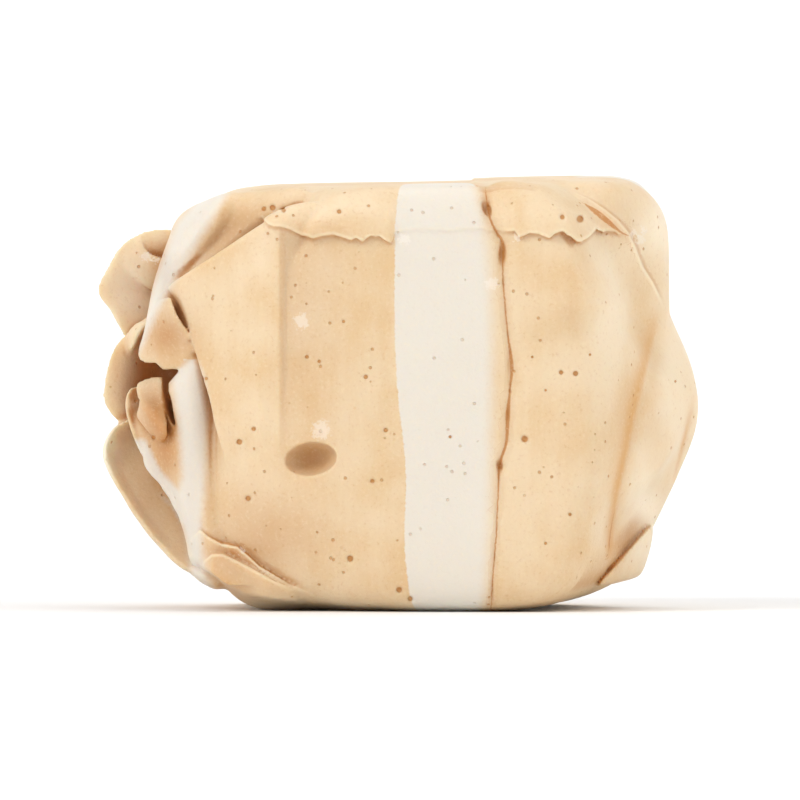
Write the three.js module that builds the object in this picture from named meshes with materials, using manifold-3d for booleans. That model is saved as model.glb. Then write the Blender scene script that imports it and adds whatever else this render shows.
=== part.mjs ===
// A piece of butterscotch taffy, unwrapped: a short plug of soft candy cut from a pulled rope, with white
// stripes let into its tan sides. Its sides are pressed flat and its two ends are folded: the right end lies
// shut in shallow creases, and the left one stands open in thin curling folds.
// Millimetres, +Z up. The rope ran upright, so the two cut faces lie at the top and the bottom; -Y is the front.
// The origin is the middle of the outline, at the height of the bottom cut face.

import * as THREE from "three";
import { mergeVertices } from "three/addons/utils/BufferGeometryUtils.js";
import Module from "manifold-3d";

const wasm = await Module();
wasm.setup();

// ---------------------------------------------------------------- driving dimensions

const HEIGHT = 19.3; // from cut face to cut face
const HALF_DEPTH = 10.35; // front to the middle, and back to the middle
const EDGE_SOFTNESS = 0.42; // how rounded the edges between pressed faces are
const CORE_STEP = 1.1; // size of the facets of the core
const SKIN = 1.5; // thickness of the outer layer where its edge stands free
const SKIN_PROUD = 0.12; // how far it stands out from the pressed form
const SKIN_SINK = 0.7; // how far it sinks into the core at its inner side
const SEAM = 0.3; // clearance between a stripe and the tan candy it is let into
const SLIVER = 0.012; // edges and triangles thinner than this are closed up
const HEART_X = 0.36; // the heart lies this far to the right of the middle, as the open folds reach further

const HEART = new THREE.Vector3(0, 0, HEIGHT / 2);

// Where the left end's twist closed, as [y, z]; the folds are rooted round it.
const TWIST = [1.2, 9.4];
const ROOT_X = -8.4;

// ---------------------------------------------------------------- small tools

const { degToRad: radians, lerp, clamp } = THREE.MathUtils;

const smoothstep = (from, to, x) => {
  const t = clamp((x - from) / (to - from), 0, 1);
  return t * t * (3 - 2 * t);
};

// A curve through evenly spaced values, at t from 0 to 1.
function through(values, t) {
  const last = values.length - 1;
  if (last === 1) return lerp(values[0], values[1], t);
  const i = Math.min(Math.floor(t * last), last - 1);
  const f = t * last - i;
  const b = values[i];
  const c = values[i + 1];
  const a = i > 0 ? values[i - 1] : 2 * b - c;
  const d = i + 2 <= last ? values[i + 2] : 2 * c - b;
  return b + 0.5 * f * (c - a + f * (2 * a - 5 * b + 4 * c - d + f * (3 * (b - c) + d - a)));
}

const pointOn = (points, t) => new THREE.Vector3(...[0, 1, 2].map((k) => through(points.map((p) => p[k]), t)));

// A closed geometry as a solid that can be joined and cut.
function solid(geometry) {
  geometry.deleteAttribute("normal");
  geometry.deleteAttribute("uv");
  const merged = mergeVertices(geometry, 1e-4);
  return new wasm.Manifold(
    new wasm.Mesh({
      numProp: 3,
      vertProperties: merged.attributes.position.array,
      triVerts: new Uint32Array(merged.index.array),
    }),
  );
}

// A box from -1 to 1 whose every point is moved by place(point).
function shapedBox(xSteps, ySteps, zSteps, place) {
  const geometry = new THREE.BoxGeometry(2, 2, 2, xSteps, ySteps, zSteps);
  const position = geometry.attributes.position;
  const point = new THREE.Vector3();
  for (let i = 0; i < position.count; i++) {
    place(point.fromBufferAttribute(position, i));
    position.setXYZ(i, point.x, point.y, point.z);
  }
  return solid(geometry);
}

// ---------------------------------------------------------------- the pressed form

// A flat that is pressed or cut: turn is its bearing (0 faces the front, 90 the right), tip how far it looks
// up, and reach its distance from the heart of the candy.
const face = (turn, tip, reach) => ({
  out: new THREE.Vector3(
    Math.sin(radians(turn)) * Math.cos(radians(tip)),
    -Math.cos(radians(turn)) * Math.cos(radians(tip)),
    Math.sin(radians(tip)),
  ),
  reach,
});

const PRESSED_FACES = [
  face(0, 90, HEIGHT / 2 - 0.05), // the two cut faces
  face(0, -90, HEIGHT / 2 + 0.12),
  face(0, 0, HALF_DEPTH), // front, with its upper and lower edges
  face(0, 24, 12.75),
  face(0, -34, 13.7),
  face(180, 0, HALF_DEPTH), // back
  face(180, 26, 12.8),
  face(180, -30, 12.9),
  face(-36, 0, 11.85), // the four corners of the plug
  face(38, 0, 13.2),
  face(140, 0, 12.4),
  face(-140, 0, 11.6),
  face(-90, 0, 12.4), // left end
  face(-90, -24, 12.6),
  face(-70, -58, 12.8),
  face(68, 21, 12.3), // right end
  face(68, -20, 12.75),
  face(90, -38, 13.35),
  face(84, -70, 12.1),
  face(112, 6, 12.1),
  face(100, 42, 14.6),
  face(118, -24, 12.6),
];

// Under the free edges of the outer layer the candy lies deeper.
const OPENED_FACES = [
  face(-62, 10, 10.6), // below the left edge of the skin
  face(-60, 38, 11.7), // behind its slanting edge
  face(-90, 0, 9.7), // the middle of the open end
  face(-118, 4, 10.6),
  face(-90, -30, 11.3),
  face(64, 30, 12.5), // behind the skin's upper right edge
];

// How far a point is past the form, a smooth maximum over its faces, and the way out of the form there.
function formAt(faces, point) {
  const past = faces.map(({ out, reach }) => out.dot(point) - out.dot(HEART) - reach);
  const most = Math.max(...past);
  const weights = past.map((d) => Math.exp((d - most) / EDGE_SOFTNESS));
  const out = new THREE.Vector3();
  faces.forEach((f, i) => out.addScaledVector(f.out, weights[i]));
  return { past: most + EDGE_SOFTNESS * Math.log(weights.reduce((a, b) => a + b)), out: out.normalize() };
}

// Where the line from start towards direction leaves the form.
function surfaceFrom(faces, start, direction) {
  const point = new THREE.Vector3();
  let near = 0;
  let far = 22;
  for (let i = 0; i < 30; i++) {
    const middle = (near + far) / 2;
    point.copy(start).addScaledVector(direction, middle);
    if (formAt(faces, point).past > 0) far = middle;
    else near = middle;
  }
  return point;
}

const FRONTWARDS = new THREE.Vector3(0, -1, 0);
const onFront = (x, z) => surfaceFrom(PRESSED_FACES, new THREE.Vector3(x, 0, z), FRONTWARDS);

// ---------------------------------------------------------------- the core

// The creases of the shut right end run out from its tip, as [bearing round the tip, how deep, how wide].
const TIP = { y: -1.0, z: 9.6 };
const TIP_CREASES = [
  [25, 0.45, 20],
  [92, 0.55, 24],
  [158, 0.4, 20],
  [214, 0.4, 18],
  [262, 0.5, 20],
  [318, 0.45, 20],
];

// The long crease down the right of the front, where the side was folded over.
const SIDE_CREASE = { x: [11.6, 10.7, 9.6, 9.1], z: [12.6, 9.2, 5.6, 2.2], depth: 0.35, width: 0.9 };

function tipSink(point) {
  const y = point.y - TIP.y;
  const z = point.z - TIP.z;
  const radius = Math.hypot(y, z);
  const bearing = THREE.MathUtils.radToDeg(Math.atan2(y, z)) + 9 * Math.sin(radius / 2.2);
  const sink = TIP_CREASES.reduce((deepest, [at, depth, width]) => {
    const off = THREE.MathUtils.euclideanModulo(bearing - at + 180, 360) - 180;
    return Math.max(deepest, depth * Math.exp(-((off / width) ** 2)));
  }, 0);
  return sink * smoothstep(1, 5, radius) * smoothstep(10, 6.5, radius) * smoothstep(6.5, 10, point.x);
}

function creaseSink(point) {
  const t = clamp((SIDE_CREASE.z[0] - point.z) / (SIDE_CREASE.z[0] - SIDE_CREASE.z.at(-1)), 0, 1);
  const off = (point.x - through(SIDE_CREASE.x, t)) / SIDE_CREASE.width;
  const ends = smoothstep(0, 0.12, t) * smoothstep(1, 0.88, t);
  return point.y < -2 ? SIDE_CREASE.depth * ends * Math.exp(-off * off) : 0;
}

function core() {
  const faces = [...PRESSED_FACES, ...OPENED_FACES];
  const direction = new THREE.Vector3();
  const steps = (size) => Math.round(size / CORE_STEP);
  return shapedBox(steps(24), steps(20), steps(19), (p) => {
    direction.set(p.x * 12, p.y * 10.3, p.z * 9.7).normalize();
    p.copy(surfaceFrom(faces, HEART, direction));
    p.addScaledVector(direction, -tipSink(p) - creaseSink(p));
  });
}

// ---------------------------------------------------------------- folds of candy

// A thin closed body with a rounded rim over the sheet that middle(u, v) gives, u and v from 0 to 1. It grows
// thicker by taper towards u = 1, and its inner side goes deeper by backing.
function sheetOfCandy(middle, { thickness, across = 7, along = 8, rim = 0.25, taper = 0, backing = 0 }) {
  const eased = (s) => 0.5 - 0.5 * Math.cos(Math.PI * s);
  const plump = (s) => Math.sqrt(Math.max(1 - Math.abs(2 * s - 1) ** 5, 0));
  const near = 1e-3;
  return shapedBox(across, along, 2, (p) => {
    const u = eased((p.x + 1) / 2);
    const v = eased((p.y + 1) / 2);
    const du = middle(Math.min(u + near, 1), v).sub(middle(Math.max(u - near, 0), v));
    const dv = middle(u, Math.min(v + near, 1)).sub(middle(u, Math.max(v - near, 0)));
    const out = du.cross(dv).normalize();
    const full = rim + (1 - rim) * plump(u) * plump(v);
    const half = (thickness / 2) * full * (1 + taper * u);
    p.copy(middle(u, v).addScaledVector(out, p.z * half + Math.max(p.z, 0) * backing * full * smoothstep(0, 0.5, u)));
  });
}

// A fold between its free edge and its root in the candy. belly is how far it stands out in between, and roll
// how far the free edge itself is turned over.
function fold({ edge, root, belly = 0, roll = 0, thickness = 1.1, ...rest }) {
  const flat = (u, v) => pointOn(edge, v).lerp(pointOn(root, v), u);
  return sheetOfCandy(
    (u, v) => {
      const down = pointOn(edge, Math.min(v + 0.02, 1)).sub(pointOn(edge, Math.max(v - 0.02, 0)));
      const out = down.cross(pointOn(root, v).sub(pointOn(edge, v))).normalize();
      return flat(u, v).addScaledVector(out, 4 * belly * u * (1 - u) - roll * smoothstep(0.4, 0, u));
    },
    { thickness, ...rest },
  );
}

// A fold that opens from the twist: only its free edge is given, and its root is found between that edge and the
// twist's heart. swirl carries the root round the heart, as the twist turned it.
function petal({ edge, swirl = 0, deep = 0.2, ...rest }) {
  const root = edge.map(([, y, z]) => {
    const dy = y - TWIST[0];
    const dz = z - TWIST[1];
    return [ROOT_X, TWIST[0] + (1 - deep) * dy + swirl * dz, TWIST[1] + (1 - deep) * dz - swirl * dy];
  });
  return fold({ edge, root, taper: 2, ...rest });
}

// The outer layer of the front, from its free edge at sideX to innerX, where it has sunk into the core.
function skin({ sideX, sideZ, lift, innerX, thickness = SKIN, across = 7, along = 9 }) {
  return sheetOfCandy(
    (u, v) => {
      const x = lerp(through(sideX, v), lerp(...innerX, v), u);
      const point = onFront(x, through(sideZ, v) + lift * u * (1 - v));
      const sunk = Math.max(smoothstep(0.45, 1, u), smoothstep(0.7, 1, v));
      return point.addScaledVector(formAt(PRESSED_FACES, point).out, SKIN_PROUD - thickness / 2 - SKIN_SINK * sunk);
    },
    { thickness, across, along },
  );
}

// Its upper left corner stands free: a slanting edge down to a tip, then an edge that runs down the left side.
const leftSkin = () =>
  skin({ sideX: [-11.1, -9.9, -9.0, -8.5], sideZ: [14.6, 12.0, 8.9, 4.6], lift: 5.0, innerX: [-3.2, -6.4] });

// Its upper right corner is folded over the side, with its edge just behind the outline.
const rightSkin = () =>
  skin({ sideX: [9.3, 10.8, 11.8, 12.6], sideZ: [18.8, 16.0, 13.2, 10.6], lift: 0.6, innerX: [6.4, 9.0], thickness: 1.2 });

// The trough and ridge that show behind the slanting edge and end below the tip in a torn edge.
const ridgeFold = () =>
  fold({
    edge: [[-9.4, -3.6, 18.8], [-10.8, -4.2, 17.0], [-11.6, -4.6, 14.1], [-12.1, -4.8, 11.2]],
    root: [[-4.4, -8.4, 18.6], [-7.2, -7.8, 16.6], [-9.4, -6.7, 14.4], [-9.6, -6.1, 11.9]],
    belly: -0.5,
    roll: 0.4,
    thickness: 1.2,
    backing: 2.6,
    along: 10,
  });

// The inner fold below it, white where the left stripe crosses it, and the lobe rolled up on its upper end.
const innerFold = () =>
  fold({
    edge: [[-12.1, -3.4, 9.8], [-11.6, -4.2, 6.6], [-10.4, -4.9, 4.2], [-9.6, -5.4, 1.6]],
    root: [[-9.0, -6.4, 10.6], [-8.6, -7.4, 7.6], [-8.2, -7.9, 4.8], [-7.8, -7.8, 2.0]],
    belly: -0.5,
    thickness: 1.3,
    backing: 2.0,
    along: 10,
  });

const rolledLobe = () =>
  fold({
    edge: [[-12.0, -4.0, 10.3], [-12.5, -4.4, 9.2], [-12.2, -4.8, 7.6], [-11.4, -5.0, 6.1]],
    root: [[-10.6, -5.4, 10.5], [-10.7, -6.2, 9.3], [-10.7, -6.0, 8.2], [-10.6, -5.6, 6.9]],
    belly: 0.5,
    roll: 0.4,
    thickness: 0.9,
    backing: 1.0,
    across: 6,
    along: 7,
  });

// The open folds that stand round the twist of the left end. The first three show beside the front.
const PETALS = [
  { edge: [[-10.2, 2.9, 17.6], [-13.1, 1.9, 16.5], [-13.9, 1.2, 14.4], [-11.9, 1.0, 11.0]], belly: -0.6, thickness: 0.9 },
  { edge: [[-11.0, 0.1, 14.2], [-13.4, -1.2, 11.6], [-13.8, -1.7, 9.6], [-12.2, -1.7, 7.2]], belly: -0.5 },
  { edge: [[-12.0, -1.7, 9.8], [-13.6, -2.8, 6.8], [-12.2, -3.6, 4.0], [-9.0, -4.2, 0.8]], belly: -0.4, thickness: 1.3 },
  { edge: [[-9.2, 5.4, 18.0], [-12.1, 5.9, 14.8], [-12.7, 5.3, 11.2], [-10.6, 3.8, 7.6]], belly: 0.7 },
  { edge: [[-11.6, 2.4, 10.6], [-13.0, 2.4, 7.4], [-12.0, 2.4, 4.2], [-8.6, 3.0, 0.8]], belly: 0.5 },
  { edge: [[-9.8, 7.8, 14.6], [-11.8, 7.4, 10.8], [-11.4, 6.6, 6.8], [-8.4, 6.0, 2.0]], belly: 0.6 },
];

// The round-ended fold tucked up from below at the front's lower left corner.
const tuckedFold = () =>
  fold({
    edge: [[-9.1, -6.9, 2.3], [-7.9, -8.5, 2.4], [-6.0, -9.7, 1.6], [-3.4, -10.1, 0.6]],
    root: [[-8.6, -6.2, 0.7], [-7.4, -7.6, 0.3], [-5.6, -8.6, -0.3], [-3.2, -9.2, -0.6]],
    belly: 0.3,
    thickness: 1.3,
  });

// The corner folded up at the lower right.
const cornerFold = () =>
  fold({
    edge: [[11.4, -3.3, 4.4], [10.6, -5.5, 3.5], [9.5, -7.3, 2.5], [8.4, -8.5, 1.6]],
    root: [[11.2, -0.6, 3.3], [10.3, -2.4, 2.0], [9.2, -4.2, 1.4], [8.0, -6.0, 0.9]],
    belly: 0.3,
    thickness: 1.3,
  });

// The thin lip that the knife dragged down over the front from the top face, between the two free corners.
const LIP = { left: [-4.3, -6.4], right: [8.8, 10.0], z: [18.7, 17.0], thickness: 0.4 };

const cutLip = () =>
  sheetOfCandy((u, v) => onFront(lerp(lerp(...LIP.left, v), lerp(...LIP.right, v), u), lerp(...LIP.z, v)), {
    thickness: LIP.thickness,
    across: 14,
    along: 3,
    rim: 0.6,
  });

// An air bubble that the pull has opened on the front.
const BUBBLE = { x: -4.4, z: 6.9, radii: [1.18, 1.0, 0.74], tilt: 8 };

function openBubble() {
  const geometry = new THREE.SphereGeometry(1, 16, 10);
  geometry.scale(...BUBBLE.radii);
  geometry.rotateY(-radians(BUBBLE.tilt));
  geometry.translate(BUBBLE.x, onFront(BUBBLE.x, BUBBLE.z).y, BUBBLE.z);
  return solid(geometry);
}

// ---------------------------------------------------------------- stripes

// A wedge of white candy let into the side, over the whole height: its bearing as for a face, its distance from
// the heart at the surface, its width there and how deep it goes.
function stripeWedge({ bearing, reach, width, depth, grown = 0 }) {
  const half = width / 2 + grown;
  const bottom = reach - depth - grown;
  const outline = new THREE.Shape();
  outline.moveTo(-half * 1.2, reach + 4.5);
  outline.lineTo(-half * 0.5, bottom);
  outline.quadraticCurveTo(0, bottom - 0.8, half * 0.5, bottom);
  outline.lineTo(half * 1.2, reach + 4.5);
  const geometry = new THREE.ExtrudeGeometry(outline, { depth: HEIGHT + 4, bevelEnabled: false, curveSegments: 5 });
  geometry.translate(0, 0, -2);
  geometry.rotateZ(Math.PI + radians(bearing));
  return solid(geometry);
}

const STRIPES = {
  white_stripe_front: { bearing: 9.3, reach: 10.4, width: 4.4, depth: 4.2 },
  white_stripe_left: { bearing: -63, reach: 10.6, width: 2.8, depth: 3.8 },
  white_stripe_right: { bearing: 102, reach: 11.6, width: 3.4, depth: 3.8 },
  white_stripe_back: { bearing: 172, reach: 10.3, width: 4.2, depth: 4.0 },
};

// ---------------------------------------------------------------- clean-up after joining and cutting

// Joining and cutting leave slivers. The shortest edge of each is closed up, or, where all its edges are long,
// its longest edge is swapped for the other diagonal of the two triangles beside it.
function withoutSlivers(positions, corners) {
  const point = (i) => new THREE.Vector3().fromArray(positions, 3 * i);
  let triangles = [];
  for (let i = 0; i < corners.length; i += 3) triangles.push([corners[i], corners[i + 1], corners[i + 2]]);

  for (let pass = 0; pass < 12; pass++) {
    const beside = new Map();
    const fans = new Map();
    triangles.forEach((t, index) =>
      t.forEach((a, k) => {
        beside.set(`${a},${t[(k + 1) % 3]}`, index);
        if (!fans.has(a)) fans.set(a, []);
        fans.get(a).push(index);
      }),
    );
    const touched = new Set();
    const free = (indices) => indices.every((i) => !touched.has(i));
    const hold = (indices) => indices.forEach((i) => touched.add(i));
    let changed = 0;

    triangles.forEach((t, index) => {
      if (touched.has(index)) return;
      const sides = t.map((a, k) => [point(a).distanceTo(point(t[(k + 1) % 3])), k]).sort((p, q) => p[0] - q[0]);
      const area = new THREE.Triangle(point(t[0]), point(t[1]), point(t[2])).getArea();
      if (sides[0][0] > SLIVER && (2 * area) / sides[2][0] > SLIVER) return;

      if (sides[0][0] < 4 * SLIVER) {
        const [keep, drop] = [t[sides[0][1]], t[(sides[0][1] + 1) % 3]];
        const fan = [...fans.get(keep), ...fans.get(drop)];
        const ring = (v) => new Set(fans.get(v).flatMap((i) => triangles[i]));
        const shared = [...ring(keep)].filter((v) => ring(drop).has(v) && v !== keep && v !== drop);
        const wide = fan.flatMap((i) => triangles[i]).flatMap((v) => fans.get(v));
        if (shared.length !== 2 || !free(wide)) return;
        hold(wide);
        fans.get(drop).forEach((i) => {
          triangles[i] = triangles[i].map((v) => (v === drop ? keep : v));
        });
      } else {
        const k = sides[2][1];
        const [a, b, c] = [t[k], t[(k + 1) % 3], t[(k + 2) % 3]];
        const other = beside.get(`${b},${a}`);
        const d = triangles[other].find((v) => v !== a && v !== b);
        const wide = [a, b, c, d].flatMap((v) => fans.get(v));
        if (beside.has(`${c},${d}`) || beside.has(`${d},${c}`) || !free(wide)) return;
        hold(wide);
        triangles[index] = [c, a, d];
        triangles[other] = [d, b, c];
      }
      changed++;
    });
    triangles = triangles.filter(([a, b, c]) => a !== b && b !== c && c !== a);
    if (!changed) break;
  }
  return triangles.flat();
}

// ---------------------------------------------------------------- the candy

const union = (solids) => solids.reduce((all, next) => all.add(next));
const largest = (made) => made.decompose().sort((a, b) => b.volume() - a.volume())[0];

// Everything between the two cut faces.
const cutToLength = (made) =>
  made.intersect(solid(new THREE.BoxGeometry(60, 60, HEIGHT).translate(0, 0, HEIGHT / 2)));

function toMesh(name, made, material) {
  const { vertProperties, triVerts } = largest(made).getMesh();
  const geometry = new THREE.BufferGeometry();
  geometry.setAttribute("position", new THREE.BufferAttribute(vertProperties, 3));
  geometry.setIndex(withoutSlivers(vertProperties, triVerts));
  geometry.computeVertexNormals();
  const mesh = new THREE.Mesh(geometry, material);
  mesh.name = name;
  return mesh;
}

const whole = cutToLength(
  union([
    core(),
    leftSkin(),
    rightSkin(),
    ridgeFold(),
    innerFold(),
    rolledLobe(),
    ...PETALS.map(petal),
    tuckedFold(),
    cornerFold(),
    cutLip(),
  ]),
).subtract(openBubble());

const butterscotch = new THREE.MeshStandardMaterial({ name: "butterscotch", color: 0xecca98, roughness: 0.5, metalness: 0 });
const vanilla = new THREE.MeshStandardMaterial({ name: "vanilla", color: 0xf1ece1, roughness: 0.5, metalness: 0 });

const candy = new THREE.Group();
candy.name = "butterscotch_taffy";
candy.position.x = HEART_X;

let body = whole;
for (const [name, stripe] of Object.entries(STRIPES)) {
  candy.add(toMesh(name, whole.intersect(stripeWedge(stripe)), vanilla));
  body = body.subtract(stripeWedge({ ...stripe, grown: SEAM }));
}
candy.add(toMesh("taffy_body", body, butterscotch));

export default candy;
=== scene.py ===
"""An unwrapped piece of butterscotch taffy: a short plug of soft pulled candy, tan with white stripes.

Its sides are pressed flat, its right end is pressed shut in creases, and its left end stands open in folds.
The whole piece is one skin, made from a field of distances: the pressed plug, then the leaves and lips of
candy that are folded onto it, then what is cut out of it. Lengths of the candy are in millimetres, measured
from the point on the floor under its heart: X to the right, Y to the back, Z up.
"""

import math

import bpy
import numpy as np
import openvdb
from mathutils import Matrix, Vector


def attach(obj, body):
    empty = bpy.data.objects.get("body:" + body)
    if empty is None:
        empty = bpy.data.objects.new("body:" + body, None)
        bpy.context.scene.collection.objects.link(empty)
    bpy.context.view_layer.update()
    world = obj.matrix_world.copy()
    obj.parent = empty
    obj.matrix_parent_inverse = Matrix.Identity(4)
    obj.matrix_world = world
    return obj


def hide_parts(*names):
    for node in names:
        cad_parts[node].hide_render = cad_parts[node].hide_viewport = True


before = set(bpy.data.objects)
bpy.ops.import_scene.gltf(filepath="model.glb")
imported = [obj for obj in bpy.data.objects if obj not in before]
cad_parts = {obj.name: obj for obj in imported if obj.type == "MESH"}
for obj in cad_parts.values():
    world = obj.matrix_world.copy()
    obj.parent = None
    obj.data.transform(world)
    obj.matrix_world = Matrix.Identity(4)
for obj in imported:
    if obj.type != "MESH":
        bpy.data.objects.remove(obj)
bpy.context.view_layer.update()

MM = 0.001

# ---------------------------------------------------------------- the main sizes, in millimetres

HEIGHT = 19.3  # from cut face to cut face
HALF_DEPTH = 10.35  # front to the middle, and back to the middle
HEART_X = 0.36  # the heart lies this far to the right of the middle of the outline
HEART = np.array([0.0, 0.0, HEIGHT / 2])
TO_HEART = np.array([HEART_X, 0, 0])

STEP = 0.1  # spacing of the field
BAND = 7  # the folds' own distances are known this many steps to each side
ROOM = np.array([[-14.8, -11.2, -0.6], [14.3, 11.2, 20.2]])  # the space that the field fills
FAR = 9.0  # stands for nowhere near
MOST_TRIANGLES = 196000
PULL = (1.0, 1.0, 0.1)  # the candy was pulled along Z, so its streaks are long that way

# ---------------------------------------------------------------- small tools


def smoothstep(start, end, x):
    t = np.clip((x - start) / (end - start), 0, 1)
    return t * t * (3 - 2 * t)


def through(values, t):
    """A smooth curve through evenly spaced values or points, at every t from 0 to 1."""
    values = np.asarray(values, float)
    padded = np.concatenate([[2 * values[0] - values[1]], values, [2 * values[-1] - values[-2]]])
    place = np.clip(np.asarray(t, float), 0, 1) * (len(values) - 1)
    i = np.minimum(place.astype(int), len(values) - 2)
    f = (place - i).reshape(np.shape(t) + (1,) * (values.ndim - 1))
    a, b, c, d = padded[i], padded[i + 1], padded[i + 2], padded[i + 3]
    return b + 0.5 * f * (c - a + f * (2 * a - 5 * b + 4 * c - d + f * (3 * (b - c) + d - a)))


def value_at(places, line):
    """The value of a line at each place. Its points are a place and a value."""
    return np.interp(places, *np.transpose(line))


def right_of(line, x, z):
    """How far each place lies to the right of a line. Its points, x and height, run downwards."""
    line = np.array(line[::-1])
    return x - np.interp(z, line[:, 1], line[:, 0])


def unit(vectors):
    return vectors / np.maximum(np.linalg.norm(vectors, axis=-1, keepdims=True), 1e-9)


def outward(turn, tip):
    """The way that a face looks: turn is its bearing (0 front, 90 right), tip how far it looks up."""
    turn, tip = math.radians(turn), math.radians(tip)
    return np.array([math.sin(turn) * math.cos(tip), -math.cos(turn) * math.cos(tip), math.sin(tip)])


# ---------------------------------------------------------------- the field of distances


class Field:
    """Distances to the candy's surface on an even grid: negative inside, positive outside."""

    def __init__(self):
        self.first = np.round(ROOM[0] / STEP).astype(int)
        self.shape = np.round((ROOM[1] - ROOM[0]) / STEP).astype(int) + 1
        axes = [(self.first[k] + np.arange(self.shape[k])) * STEP for k in range(3)]
        self.x = axes[0].astype(np.float32)[:, None, None]
        self.y = axes[1].astype(np.float32)[None, :, None]
        self.z = axes[2].astype(np.float32)[None, None, :]
        self.d = np.full(self.shape, -np.inf, np.float32)

    def window(self, low, high):
        """The slices of the grid that hold a box."""
        start = np.clip(np.floor(np.asarray(low) / STEP).astype(int) - self.first, 0, self.shape - 1)
        end = np.clip(np.ceil(np.asarray(high) / STEP).astype(int) - self.first + 1, 1, self.shape)
        return tuple(slice(a, b) for a, b in zip(start, end))

    def places(self, window):
        return self.x[window[0]], self.y[:, window[1]], self.z[:, :, window[2]]

    def solid(self, points, quads):
        """The distances to a closed mesh, and the window that they fill."""
        grid = openvdb.FloatGrid.createLevelSetFromPolygons(
            points.astype(np.float32),
            quads=quads.astype(np.uint32),
            transform=openvdb.createLinearTransform(STEP),
            halfWidth=float(BAND),
        )
        window = self.window(points.min(0) - BAND * STEP, points.max(0) + BAND * STEP)
        distances = np.empty([w.stop - w.start for w in window], np.float32)
        grid.copyToArray(distances, ijk=tuple(int(f + w.start) for f, w in zip(self.first, window)))
        return distances, window

    def join(self, distances, window, blend):
        """Adds a solid. Where it meets the candy, a fillet of about blend rounds the corner."""
        here = self.d[window]
        near = np.clip(blend - np.abs(here - distances), 0, None) / blend
        self.d[window] = np.minimum(here, distances) - near * near * blend / 4

    def cut(self, distances, window, blend):
        """Takes a solid away, with its rim rounded by about blend."""
        here = self.d[window]
        near = np.clip(blend - np.abs(here + distances), 0, None) / blend
        self.d[window] = np.maximum(here, -distances) + near * near * blend / 4

    def unevenness(self, sizes, seed):
        """Smooth random values of about -1 to 1, with bumps of the given sizes along X, Y and Z."""
        swing = 1.6  # the smoothing takes about a third off
        spans = [float(n - 1) * STEP for n in self.shape]
        counts = [int(math.ceil(span / size)) + 4 for span, size in zip(spans, sizes)]
        values = np.random.default_rng(seed).uniform(-swing, swing, counts).astype(np.float32)
        for k, size in enumerate(sizes):
            place = np.arange(self.shape[k]) * STEP / size + 1
            i = place.astype(int)
            f = (place - i)[:, None]
            weights = np.zeros((self.shape[k], counts[k]), np.float32)
            rows = np.arange(self.shape[k])
            cubic = np.hstack([(1 - f) ** 3, 3 * f**3 - 6 * f**2 + 4, 3 * (f + f**2 - f**3) + 1, f**3]) / 6
            for j in range(4):
                weights[rows, i - 1 + j] = cubic[:, j]
            values = np.moveaxis(np.tensordot(weights, values, (1, k)), 0, k)
        return values

    def at(self, points):
        """The distances at any points, read between the grid's own."""
        place = np.clip(points / STEP - self.first, 0, self.shape - 1.001)
        i = place.astype(int)
        f = place - i
        total = np.zeros(len(points))
        for corner in np.ndindex(2, 2, 2):
            weight = np.prod(np.where(corner, f, 1 - f), axis=1)
            total += weight * self.d[tuple((i + corner).T)]
        return total

    def surface(self):
        """The points and the four-sided faces of the surface."""
        grid = openvdb.FloatGrid(FAR)
        grid.copyFromArray(self.d)
        points, _, quads = grid.convertToPolygons(isovalue=0.0, adaptivity=0.0)
        return (points + self.first) * STEP, quads


# ---------------------------------------------------------------- the pressed plug

EDGE_SOFTNESS = 0.42  # how rounded the edges between pressed faces are

TOP = (-90, 88.85)  # the way that the top face looks: a little to the left
TOP_REACH = HEIGHT / 2 - 0.03
PRESSED_FACES = [  # turn, tip, distance from the heart
    (*TOP, TOP_REACH),
    (0, -90, HEIGHT / 2 + 0.12),
    (0, 0, HALF_DEPTH),
    (0, 24, 12.75),
    (0, -34, 13.7),
    (-22, -22, 12.5),
    (-30, -70, 12.1),
    (180, 0, HALF_DEPTH),
    (180, 26, 12.8),
    (180, -30, 12.9),
    (-36, 0, 11.85),
    (38, 0, 13.2),
    (140, 0, 12.4),
    (-140, 0, 11.6),
    (-90, 0, 12.4),
    (-90, -24, 12.6),
    (-90, 60, 12.4),
    (-70, -58, 12.8),
    (-50, -72, 11.8),
    (68, 21, 12.15),
    (68, -20, 12.75),
    (90, -26, 12.85),
    (84, -70, 11.45),
    (112, 6, 12.1),
    (118, -24, 12.6),
]

OPENED_FACES = [  # under the free edges of the outer layer the candy lies deeper
    (-62, 10, 10.6),
    (-60, 38, 11.7),
    (-90, 0, 9.7),
    (-118, 4, 10.6),
    (-90, -30, 11.3),
]

BACK_CORNER = [  # the upper right corner of the candy behind the front's outer layer
    (*TOP, HEIGHT / 2),
    (90, 0, 11.95),
    (90, 45, 14.35),
    (0, 0, 7.0),
    (48, 0, 11.3),
    (180, 0, 8.0),
    (135, 0, 11.6),
    (90, -62, 5.9),
    (0, -90, 1.0),
]
BACK_CORNER_ROOM = ((3, -9, 9), (14, 10, 20.2))

# The crease of the front's left corner is crisp near the top and soft further down.
CORNER_CREASE = {"x": -5.9, "width": 2.2, "in_front_of": -6, "rising": (7.0, 14.5), "crisp": 0.12}


def softness_at(x, y, z):
    crease = CORNER_CREASE
    near = np.exp(-(((x - crease["x"]) / crease["width"]) ** 2)) * (y < crease["in_front_of"])
    near = near * smoothstep(*crease["rising"], z)
    return EDGE_SOFTNESS + (crease["crisp"] - EDGE_SOFTNESS) * near.astype(np.float32)


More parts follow.
